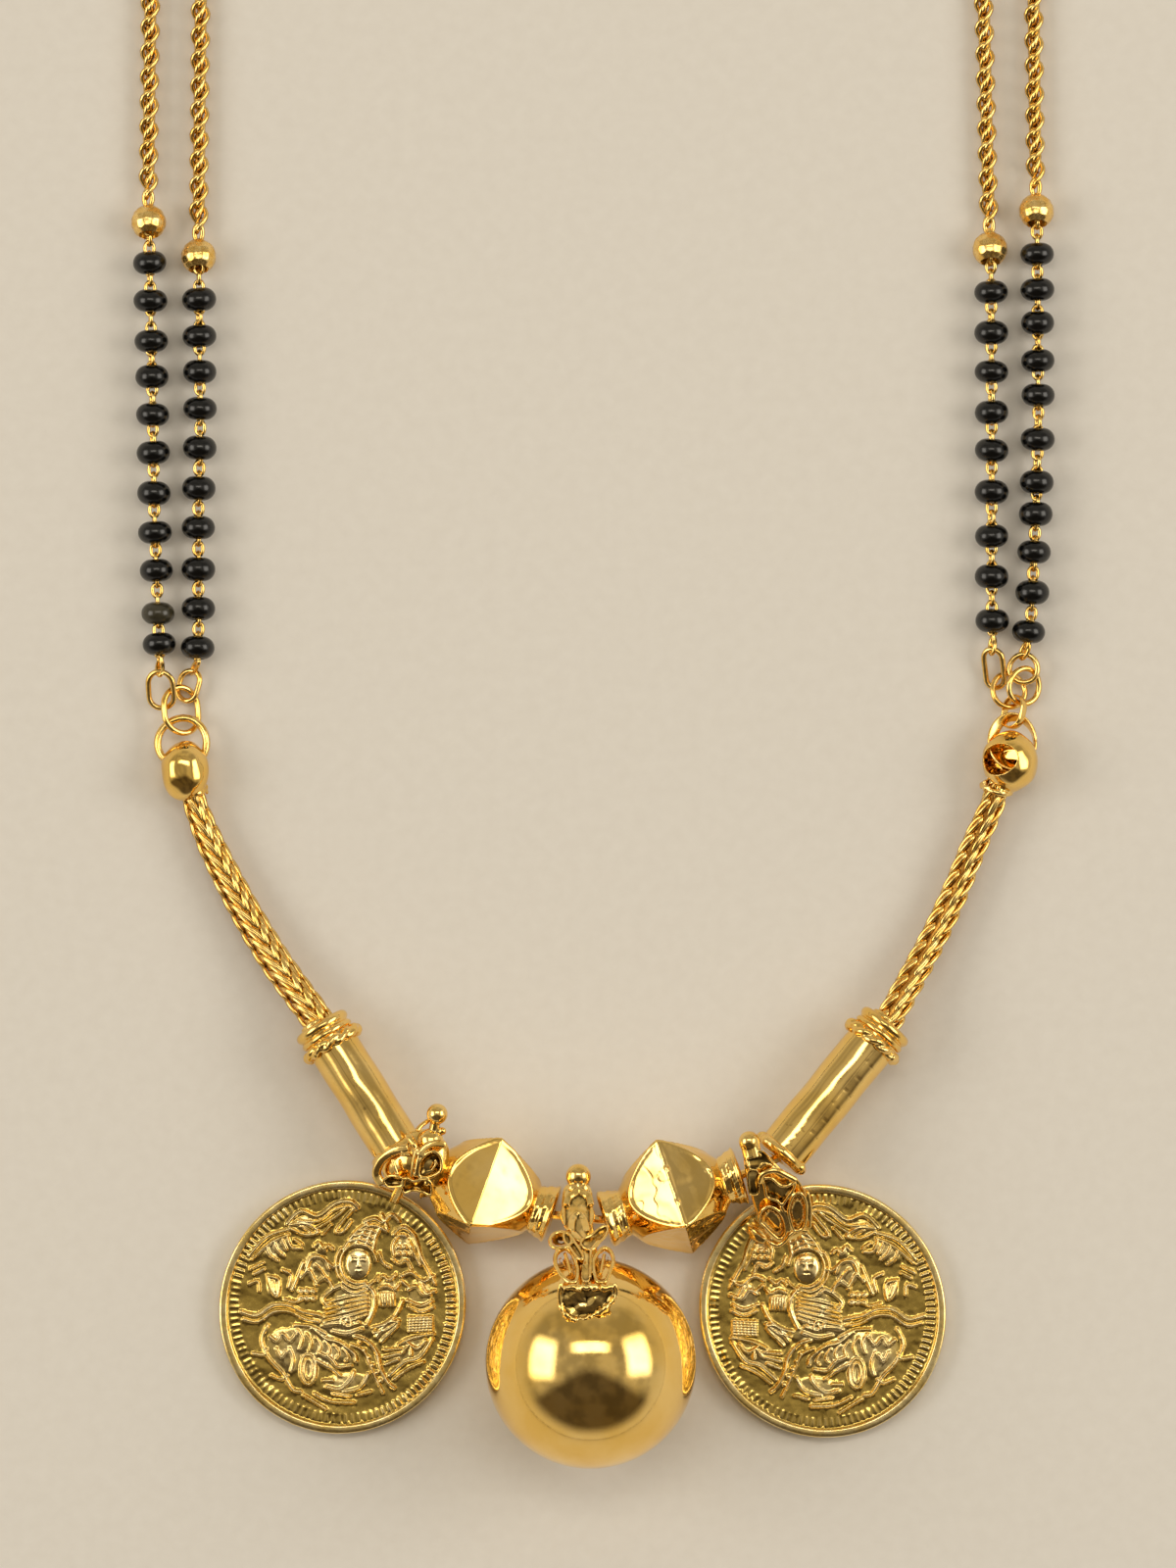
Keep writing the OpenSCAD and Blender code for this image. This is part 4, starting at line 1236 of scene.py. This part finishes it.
# Raised lines as (half width, points) in mm from the coin's centre
coin_lines = [
    # Canopy branch over the figure
    (0.2, [(-4.5, 6.8), (-3.4, 7.8), (-2, 7.4), (-0.6, 8.4), (0.6, 8.6), (1.2, 8.1)]),
    (0.14, [(-3.6, 7), (-2, 7), (-0.7, 7.9), (0.5, 8.2), (1, 7.9)]),
    (0.14, [(0.9, 8), (-0.5, 6.3), (0, 6.1), (0.7, 7)]),
    (0.14, [(-2.1, 6.4), (-0.5, 7.4), (0.3, 8.1)]),
    (0.16, [(-4.3, 6.7), (-3, 6.8), (-2, 6.1), (-3.1, 5.9), (-4.3, 6.4)]),
    (0.12, [(-3.4, 6.6), (-2.6, 6.1)]), (0.12, [(-1.6, 5.9), (-0.9, 6.7)]),
    # Elephant at the left edge
    (0.18, [(-7.6, 4.2), (-6.2, 5.7), (-4.5, 6.3)]), (0.14, [(-7.4, 3.9), (-5.9, 5.2), (-4.4, 5.9)]),
    (0.14, [(-5.6, 5.3), (-5.3, 4.6), (-4.8, 4.2)]), (0.14, [(-6.2, 4.9), (-5.9, 4.2), (-5.3, 3.8)]),
    (0.14, [(-4.6, 5.9), (-4.2, 4.9), (-3.4, 4.8)]), (0.14, [(-5, 5.6), (-4.6, 4.7)]),
    (0.14, [(-7.5, 3.1), (-6.5, 3.6)]), (0.14, [(-7.2, 2.7), (-6.4, 3.1)]),
    (0.14, [(-3.9, 5.5), (-3.3, 5.1)]),
    # Small attendant on the left
    (0.16, [(-2.3, 4.9), (-1.9, 5.2), (-1.6, 4.7), (-1.2, 5), (-0.8, 4.7)]),
    (0.17, [(-3, 2.9), (-2.6, 3.9), (-2, 4.1), (-1.4, 3.8), (-1.1, 3.1)]),
    (0.16, [(-1.3, 3.7), (-0.8, 3.3), (-0.2, 3.4)]),
    (0.16, [(-3.4, 2.4), (-2.8, 3), (-2.4, 2.4), (-2.1, 1.8)]),
    (0.16, [(-4.1, 1.4), (-3.6, 2.6), (-3.2, 3.6)]), (0.16, [(-2.2, 1.8), (-1.4, 2.4), (-0.8, 1.6)]),
    (0.14, [(-2.2, 3.4), (-1.7, 2.9), (-1.3, 2.2)]),
    # Leaf and fruit beside it
    (0.15, [(-6.1, 2.5), (-5.2, 2.2), (-5.3, 0.9), (-5.8, 1.4), (-6.1, 2.5)]),
    (0.14, [(-5.7, 2.1), (-5.5, 1.3)]),
    (0.15, [(-4.9, 3), (-4.2, 2.6), (-4.4, 1.6)]), (0.13, [(-7.6, 1.9), (-6.9, 2.1), (-6.8, 1.3)]),
    # Crown of the figure and the nimbus round its head
    (0.16, [(0.1, 4.7), (0.9, 5.9), (2, 6.8)]), (0.16, [(2.5, 4.7), (2.7, 5.7), (3.1, 6.5)]),
    (0.13, [(0.5, 5.3), (1.4, 5.5), (2.5, 5)]), (0.13, [(0.9, 5.8), (1.7, 5.9), (2.6, 5.5)]),
    (0.13, [(1.3, 6.2), (2, 6.3), (2.8, 6)]), (0.13, [(1.1, 5.2), (1.9, 6.4)]),
    (0.13, [(1.9, 5.1), (2.4, 6.3)]),
    (0.18, [(1.8, 6.9), (2.6, 7.2), (3.3, 6.9), (4, 7.5), (4.6, 7)]), (0.15, [(3.2, 7.5), (3.7, 6.4)]),
    (0.15, [(2, 6.6), (2.8, 6.6), (3.6, 6.2)]),
    (0.15, oval_line(*head, 1.5, 1.62, 10, 290)), (0.12, oval_line(*head, 1.85, 1.95, 140, 330)),
    # Collar, arms, and the folds of the robe
    (0.15, [(0, 2), (0.9, 1.5), (1.9, 1.8)]), (0.14, [(0, 1.6), (0.9, 1.1), (2, 1.4)]),
    (0.2, [(1.9, 1.8), (2.5, 1.1), (2.6, 0), (2, -1.4)]),
    (0.18, [(-0.2, 1.7), (-1, 1.3), (-1.6, 0.6), (-1.2, 0)]),
    (0.2, [(-2.5, -1.7), (-1.4, -2.6), (-0.3, -2.9), (0.9, -3.8), (1.1, -4.4)]),
    (0.16, [(-1.6, -1.5), (-0.6, -1.3), (0.4, -1.6), (1.4, -1.3)]),
    (0.15, [(-0.8, -2), (0.3, -2.2), (1.6, -1.8)]),
    (0.15, [(-0.2, -0.9), (0.1, -1.5), (0.5, -0.9), (0.8, -1.5), (1.2, -0.9)]),
    # Attendant on the right, with loose hair
    (0.18, [(4.2, 5.9), (4.9, 6.5), (5.7, 6), (6.1, 5.1), (6.4, 4), (7, 2.9), (7.5, 1.9)]),
    (0.14, [(4.2, 4.2), (4.1, 5), (4.6, 5.8), (5.2, 5.8)]), (0.14, [(5.4, 5.4), (5.8, 4.4), (6.3, 3.4)]),
    (0.14, [(4.1, 3.9), (4.6, 3.5), (5.2, 3.8), (5.6, 3.1)]), (0.14, [(3, 4.4), (3.3, 3.6), (3.9, 3.2)]),
    (0.16, [(4.8, 2.5), (5.6, 2.8), (6.6, 2.1), (7.4, 2.5)]),
    (0.16, [(5.3, 1.4), (6, 1.7), (6.6, 1), (7.5, 1.3)]),
    (0.14, [(4.8, 2.1), (5.5, 1.5)]), (0.14, [(6.4, 2), (6.8, 1.2)]),
    (0.15, [(2.9, 2.1), (3.3, 2.5), (3.8, 2.2), (4.3, 2.6)]),
    (0.14, [(3, 1.5), (3.6, 1.7), (4.2, 1.4), (4.6, 1.8)]),
    # Vase with a woven pattern, and the trailing scarf
    (0.15, [(5.3, 0.5), (6.4, 0.1), (7.3, 0.5)]), (0.15, [(5.4, 0), (6.4, -0.4), (7.4, 0)]),
    (0.16, [(2.5, -1.7), (3.5, -1.4), (4.3, -0.7), (4.9, 0.5)]),
    (0.15, [(2.6, -2.1), (3.7, -1.8), (4.6, -1.1)]),
    (0.18, [(2.8, -2.4), (3.7, -1.3), (4.5, -1.4), (3.2, -2.8)]),
    # Ground at the right: tray, reeds, and a long leaf
    (0.16, [(4.6, -3.1), (5.8, -2.5), (7.4, -2.2)]),
    (0.17, [(3.8, -5.6), (5.1, -4.5), (6.3, -4.1), (7.3, -2.6)]),
    (0.14, [(4.2, -5.9), (5.4, -5), (6.6, -4.5)]),
    (0.15, [(3.4, -3.5), (4.8, -3.4)]), (0.15, [(3.4, -4.1), (4.7, -3.8)]),
    (0.15, [(3.5, -4.7), (4.5, -4.3)]),
    (0.14, [(4.9, -3.7), (5.5, -3.1), (5.6, -3.9)]), (0.14, [(5.2, -2.9), (6.1, -3.4), (6.8, -2.7)]),
    (0.18, [(1, -2.4), (2, -2.8), (2.8, -3.8), (3.1, -5.1), (3.7, -6.2), (4.2, -6.6)]),
    (0.14, [(0.7, -3.1), (1.7, -3.6), (2.3, -4.9), (2.8, -6), (3.3, -7)]),
    # River bank at the left and the back of the recumbent animal
    (0.18, [(-8.3, -0.4), (-7, -0.7), (-5.7, 0.1), (-4.4, 0.1), (-3.3, -0.4), (-1.8, -0.7)]),
    (0.15, [(-8.1, -1), (-6.9, -1.2), (-5.6, -0.4), (-4.3, -0.4), (-3.1, -1), (-2, -1.2)]),
    (0.15, [(-4.7, 0.6), (-3.9, 0.4), (-3.2, 0.7)]), (0.14, [(-3.9, -1.5), (-2.6, -1.6), (-1.4, -2.2)]),
    (0.17, [(-6.1, -1.5), (-6.6, -2.7), (-6, -4.2), (-4.9, -5.4), (-4.1, -6.7), (-3.4, -6.9)]),
    (0.15, [(-5.9, -2.4), (-5.3, -2.8), (-4.9, -2.2), (-4.3, -2.8), (-3.8, -2.2)]),
    (0.14, [(-7.3, -3.8), (-6.4, -3.9), (-6.2, -3.5)]), (0.14, [(-5.8, -5.6), (-5, -5.9), (-4.5, -5.6)]),
    (0.15, oval_line(-2.8, -5.1, 0.62, 1.2)), (0.13, oval_line(-2.8, -5.1, 0.32, 0.8)),
    (0.14, [(-4.3, -3.4), (-4, -4.3), (-4.2, -5.2)]), (0.14, [(-5.4, -3.4), (-5, -4.1), (-4.6, -3.6)]),
    (0.15, [(-1.9, -3.8), (-1, -4.2), (-0.4, -4.9), (0.7, -4.8)]),
    (0.15, [(-2.1, -4.4), (-1, -5), (-0.2, -5.6)]),
    # Leaves along the lower edge
    (0.16, [(-1.3, -6.5), (-0.2, -6.7), (0.7, -5.9), (0.9, -5.3)]),
    (0.16, [(0.1, -6.9), (1.4, -6.6), (2.1, -5.5)]),
    (0.16, [(-2.3, -7.1), (-1, -7.7), (0.9, -7.8)]), (0.15, [(-3.2, -7.2), (-2.2, -7.8), (-1.4, -8.3)]),
    (0.14, [(-0.8, -7.1), (0.6, -7.3)]), (0.14, [(1.2, -7.2), (2.3, -6.9)]), (0.14, [(-1.6, -6), (-0.8, -6)]),
]
for i in range(6):
    coin_lines += [
        (0.14, [(2, 1 - 0.33 * i), (0.4, 0.8 - 0.4 * i), (-1.4, 0.3 - 0.37 * i)]),
        (0.13, [(-3.7 + 0.75 * i, -1.9 - 0.3 * i), (-3.3 + 0.75 * i, -2.6 - 0.3 * i),
                (-3.5 + 0.75 * i, -3.4 - 0.2 * i)]),
        (0.11, [(5.5 + 0.3 * i, -0.8), (5.5 + 0.28 * i, -2)]),
        (0.11, [(5.4, -0.9 - 0.22 * i), (7.3, -0.8 - 0.22 * i)]),
        (0.14, oval_line(1.4 + 0.35 * i, -2.9 - 0.62 * i, 0.06, 0.06)),
        (0.13, oval_line(4.6 + 0.5 * (i % 3), 4.9 - 0.55 * (i // 3), 0.07, 0.07)),
        (0.11, [(3.05 + 0.22 * i, 1.1), (3.1 + 0.22 * i, 0.1)]),
        (0.16, oval_line(-3.4 + 0.5 * (i % 3), 1.3 - 0.6 * (i // 3), 0.12, 0.1)),
    ]
# Low rounded bodies under the lines, as (x, y, half width, half height, lean, share of the relief)
coin_bodies = [
    (0.8, 0.2, 1.6, 1.7, 0, 0.5), (0, -1.6, 2.6, 0.9, -12, 0.45), (1.7, 5.7, 0.9, 1.4, -35, 0.45),
    (-2.1, 3.2, 1, 1.3, 20, 0.5), (-1.7, 4.7, 0.5, 0.45, 0, 0.6), (-5.3, 4.9, 1.3, 0.8, 35, 0.45),
    (5.1, 4.6, 0.9, 1.4, -15, 0.45), (6.3, 0.9, 1, 1.4, 10, 0.4), (3.7, 1.2, 0.9, 1.1, 0, 0.35),
    (-2, -3.3, 3.1, 1.4, -22, 0.55), (-4.6, -3.6, 1.6, 1.9, 20, 0.5), (-2.8, -5.1, 0.9, 1.4, 0, 0.35),
    (5.3, -3.5, 1.7, 1, 30, 0.35), (0.2, -6.3, 1.9, 0.9, 10, 0.35), (-5.6, 1.7, 0.6, 0.9, 0, 0.4),
    (6.4, -1.4, 1.1, 0.8, 0, 0.4), (3.6, -1.8, 1.3, 0.6, 40, 0.4), (-3.2, 6.8, 1.1, 0.6, 20, 0.35),
]
# The face is a plain calm one: brows, lids, nose, mouth and chin in the usual proportions
face_lines = [
    (0.09, [(0.72, 4.03), (0.95, 4.12), (1.15, 4.02)]), (0.09, [(1.45, 4.02), (1.65, 4.12), (1.88, 4.03)]),
    (0.1, [(0.74, 3.8), (0.95, 3.86), (1.14, 3.8)]), (0.1, [(1.46, 3.8), (1.65, 3.86), (1.86, 3.8)]),
    (0.1, [(1.3, 4), (1.3, 3.4)]), (0.08, [(1.16, 3.33), (1.3, 3.27), (1.44, 3.33)]),
    (0.08, [(1.08, 2.98), (1.3, 2.93), (1.52, 2.98)]),
]


def coin_disc(hand):
    """A coin about its own centre: outline turned and made oval, and the field struck. The two are mirrored,
    but both have their stronger milling on the right."""
    rim_top = coin_t + rim_h
    outline = [(0, 0), (9.85, 0), (10, 0.15), (10, rim_top - 0.18),
               *arc(9.82, rim_top - 0.18, 0.18, 0, 90, 4),
               *arc(10 - rim_w + 0.2, rim_top - 0.15, 0.15, 90, 180, 4)]
    outline += [(field_r * (1 - i / field_rings) ** 0.75, coin_t) for i in range(field_rings + 1)]
    shape = turned(outline, 720)
    bmesh.ops.scale(shape, vec=(coin_w / 20, coin_l / 20, 1), verts=shape.verts)
    bmesh.ops.rotate(shape, matrix=Matrix.Rotation(math.radians(-hand * coin_turn), 3, "Z"),
                     verts=shape.verts)
    # The height of the relief also masks the painted shade: the low field gets it, the raised lines do not
    layer = shape.verts.layers.float.new("relief")
    field = [v for v in shape.verts if abs(v.co.z - coin_t) < 0.001]
    x = hand * np.array([v.co.x for v in field])
    y = np.array([v.co.y for v in field])
    body = np.zeros_like(x)
    for cx, cy, half_w, half_h, lean, share in coin_bodies:
        c, s = math.cos(math.radians(lean)), math.sin(math.radians(lean))
        u, v = ((x - cx) * c + (y - cy) * s) / half_w, ((y - cy) * c - (x - cx) * s) / half_h
        body = np.maximum(body, share * np.sqrt(np.clip(1 - u * u - v * v, 0, 1)))
    broad_lines = [(line_share * half, line) for half, line in coin_lines]
    lift = body + ridge_heights(x, y, broad_lines) * (0.95 - 0.45 * body)
    face = np.hypot((x - head[0]) / 1.02, (y - head[1]) / 1.25)
    dome_lift = np.sqrt(np.clip(1 - face ** 2, 0, 1))
    lift = np.maximum(lift, dome_lift * 1.1 + ridge_heights(x, y, face_lines) * 0.45 * (face < 0.9))
    out = np.hypot(x / 10, y / 10.3)
    turn = np.degrees(np.arctan2(y, hand * x))
    tooth = np.clip(np.cos(np.radians(turn) * teeth) * 1.8, 0, 1)
    band = np.clip(1 - ((out - 0.885) / 0.042) ** 4, 0, 1)
    strong = 0.2 + 0.8 * np.clip(1.6 - np.abs(turn + 15 - 20 * (hand < 0)) / 40, 0, 1)
    strong = np.maximum(strong, 0.5 * (np.abs(turn - 142) < 22) * (hand > 0))
    lift = np.maximum(lift, 0.75 * tooth * band * strong)
    for vert, rise in zip(field, lift):
        wave = noise.noise(vert.co * 0.7 + Vector((hand, 0, 0))) + 0.4 * noise.noise(vert.co * 2.1)
        edge = 1 if vert.co.xy.length < 8.8 else 0.4
        vert.co.z += relief_h * float(rise) + wave_h * wave * edge
        vert[layer] = float(rise)
    # The rim counts as fully raised, so it gets no painted shade
    for vert in shape.verts:
        if vert.co.z > coin_t + 0.06 and vert.co.xy.length > 9.2:
            vert[layer] = 1
    return thinned(object_of(shape), 0.4)


# Struck and gilt: the raised lines and the rim keep the pale gold, and the field between them is darkened to
# olive as painted shade
struck_gold = with_painted_shade(gold("gold_plate_struck", "#FFE8AC", "#F7D684", 1.5, 0.18, 0.8, 0.02, 0.15, 0.001),
                      "relief", 0.55, 0.0, "#D2B25E")


def left_lift(x, h):
    """Height of the left ornament: a low dome over the barrel."""
    return 8.3 - 0.1 * ((x + 13.8) ** 2 + (h - 25.3) ** 2)


def right_lift(x, h):
    """Height of the right ornament: level over the barrel, then sloping down over the coin."""
    return 8.5 - 0.62 * max(0, 24.6 - h)


def bail_core(start, end, hub, edge, neck_end):
    """Barrel on the stringing wire, post above it, and the neck that is soldered to the coin's edge."""
    middle = start.lerp(end, 0.5)
    barrel = turned([(0.7, -0.6), *arc(0.9, 0, 0.5, -80, 80, 8), (0.7, 0.6)], 32)
    barrel.transform(along(middle, end))
    return [barrel, rod(edge, neck_end, 0.45), rod(middle + Vector((0, 0, 1.1)), hub, 0.9)]


def left_bail():
    """Knob on a stalk with a side bead, a small leaf, a large cupped leaf, a C-shaped strap and two cups."""
    lift = left_lift
    core = bail_core(at(-15.5, 25.4, 3.8), at(-13.4, 24.1, 4.4), at(-14.2, 25.4, 7.4), at(-16.1, 21.6, 0.9),
                     at(-14.9, 24.2, 3.2))
    core += [
        dish([(-15.2, 27), (-14.2, 27.5), (-13, 27.4), (-11.8, 26.4), (-11.6, 25.2), (-11.9, 23.6),
              (-13, 22.8), (-15, 23), (-16.6, 23.4), (-17.1, 24.4), (-16.6, 25.6)],
             raised(lift, -1), -0.5, 0.6),
        dome(at(-13.1, 26.6, 7.3), 1.05, 0.95),
        rod(at(-13, 26.8, 7.4), at(-12.6, 28.6, 7.75), 0.42),
        dome(at(-12.57, 28.78, 7.8), 0.86),
        dome(at(-12.15, 27.4, 7.6), 0.32),
    ]
    trim = [
        dish([(-15.2, 27.1), (-14.8, 27.25), (-14.35, 26.75), (-14.1, 26), (-14.4, 25.85), (-14.95, 26.5)],
             lift, -0.3),
        dish([(-14.05, 23.7), (-14.1, 24.6), (-13.65, 25.4), (-12.9, 25.8), (-12.3, 25.4), (-12.15, 24.6),
              (-12.35, 24.05), (-13.25, 23.6)], lift, 0.7, 0.3, 0.16),
        strand_on(lift, -0.3, 0.12, [(-13, 24.2), (-12.7, 24.7), (-12.75, 25.1)]),
        strand_on(lift, 0.1, 0.16, [(-14, 25.4), (-13.6, 26), (-12.9, 26.35), (-11.9, 26.3)], flat=0.12),
        strand_on(lift, 0.1, 0.13, [(-14.2, 26), (-14.5, 25), (-14.65, 23.7)],
                  [(-13.9, 25.8), (-14.15, 25), (-14.35, 23.7)]),
        strand_on(lift, -0.2, 0.28, [(-14.9, 26), (-16, 25.8), (-17.1, 25), (-17.5, 23.9), (-17, 23)], fine=3,
                  flat=0.12),
        strand_on(lift, 0, 0.17, [(-16.2, 25.1), (-16, 24.4), (-15.75, 23.8)],
                  [(-15.5, 25.5), (-14.75, 25.45)]),
        dish([(-16.95, 23.35), (-16.5, 23.75), (-15.8, 23.75), (-15.3, 23.5), (-15.3, 23), (-15.9, 22.85),
              (-16.6, 22.9)], raised(lift, 0.25), 0.5, 0.3, 0.12),
        dish([(-15.4, 23.4), (-15, 23.6), (-14.5, 23.35), (-13.7, 23.5), (-13.1, 23.3), (-12.95, 22.6),
              (-13.1, 22.15), (-13.8, 22.45), (-14.6, 22.55), (-15.3, 22.35), (-15.5, 22.9)],
             raised(lift, 0.2), 0.5, 0.3, 0.12),
        strand_on(lift, -0.2, 0.2, [(-13.2, 28.3), (-13.9, 27.8), (-14.2, 27.4)]),
        dome(at(-13.4, 23.2, lift(-13.4, 23.2) + 0.1), 0.28),
    ]
    return melted(join(core + trim), 0.05, 2)


def right_bail():
    """Domed finial, a folded plate under it, three deep petals over the coin and a ruffled lower edge."""
    lift = right_lift
    core = bail_core(at(12.2, 23.8, 4.8), at(15.1, 25.1, 4), at(13.8, 24.6, 7.4), at(14.8, 21.2, 0.9),
                     at(13.9, 23.7, 3.4))
    core += [
        dish([(12.4, 25.8), (13.9, 25.8), (15.3, 24.4), (16.6, 23.6), (17.4, 22.2), (17.5, 20.2),
              (17.2, 19), (15.5, 18.2), (14.3, 18.9), (13.4, 20.6), (12.9, 22.2), (12.5, 23.6)],
             raised(lift, -0.7), -0.2, 0.9),
        dome(at(12.76, 26.55, 8.1), 0.86),
        rod(at(12.8, 26.4, 8), at(13.1, 25.2, 8), 0.78, 4),
    ]
    trim = [
        dish([(12.55, 25.55), (13.85, 25.85), (14.6, 25), (15.2, 24.2), (14.7, 24.55), (14, 24.75),
              (13.4, 24.3), (12.7, 24.3)], lift, 0.18),
        dish([(12.6, 24.15), (13.5, 24.2), (13.55, 23.3), (13.6, 22.3), (13.1, 22.1), (12.7, 22.4)],
             lift, 0.3),
        strand_on(lift, 0.05, 0.26, [(13.55, 23.2), (13.9, 23.95), (14.9, 24.2), (15.9, 23.75),
                                     (16.55, 23.4)], fine=3),
        dish([(13.85, 23.5), (14.55, 23.6), (15.3, 23), (15.95, 22.95), (16.5, 23.3), (16.45, 22.75),
              (15.95, 22), (15.45, 21.3), (15.05, 21.7), (14.2, 22), (14, 22.8)], lift, 0.9, 0.3, 0.14),
        dish([(13.7, 20.85), (14.4, 21.3), (15.2, 20.9), (15.7, 20.1), (15.8, 19), (15.3, 18.5),
              (14.65, 18.95), (14, 19.6), (13.55, 20.1)], raised(lift, 0.15), 1, 0.3, 0.14),
        dish([(16.35, 22.2), (16.95, 22.4), (17.35, 21.75), (17.45, 20.7), (17.35, 19.8), (17.05, 19.3),
              (16.45, 19.2), (16.1, 20.1), (15.95, 21.1)], raised(lift, 0.15), 1, 0.3, 0.14),
        wires([laid([(15.35, 21.3), (15.85, 20.3), (16.05, 19.2)], lift, 0.1),
               laid([(17.5, 22.4), (17.75, 21), (17.7, 19.5)], lift, 0)], 0.18, closed=False, fine=3),
        strand_on(lift, -0.1, 0.2, [(14.4, 18.3), (15.1, 18), (15.7, 18.4), (16.1, 18.9), (16.7, 19.25),
                                    (17.6, 19.2)], fine=3),
        dish([(12.7, 19.6), (13.6, 19.4), (14.3, 18.6), (13.9, 18.1), (12.9, 18.6)],
             lambda x, h: 2.2, -0.3, 0.8),
    ]
    return melted(join(core + trim), 0.055, 5)


for side, hand, bail in (("left", 1, left_bail), ("right", -1, right_bail)):
    disc = coin_disc(hand)
    bmesh.ops.translate(disc, vec=coin_places[side], verts=disc.verts)
    node = side + "_coin_pendant"
    piece(node, disc, struck_gold, [node])
    piece(side + "_coin_bail", hollowed(bail()), cast_gold, [node])
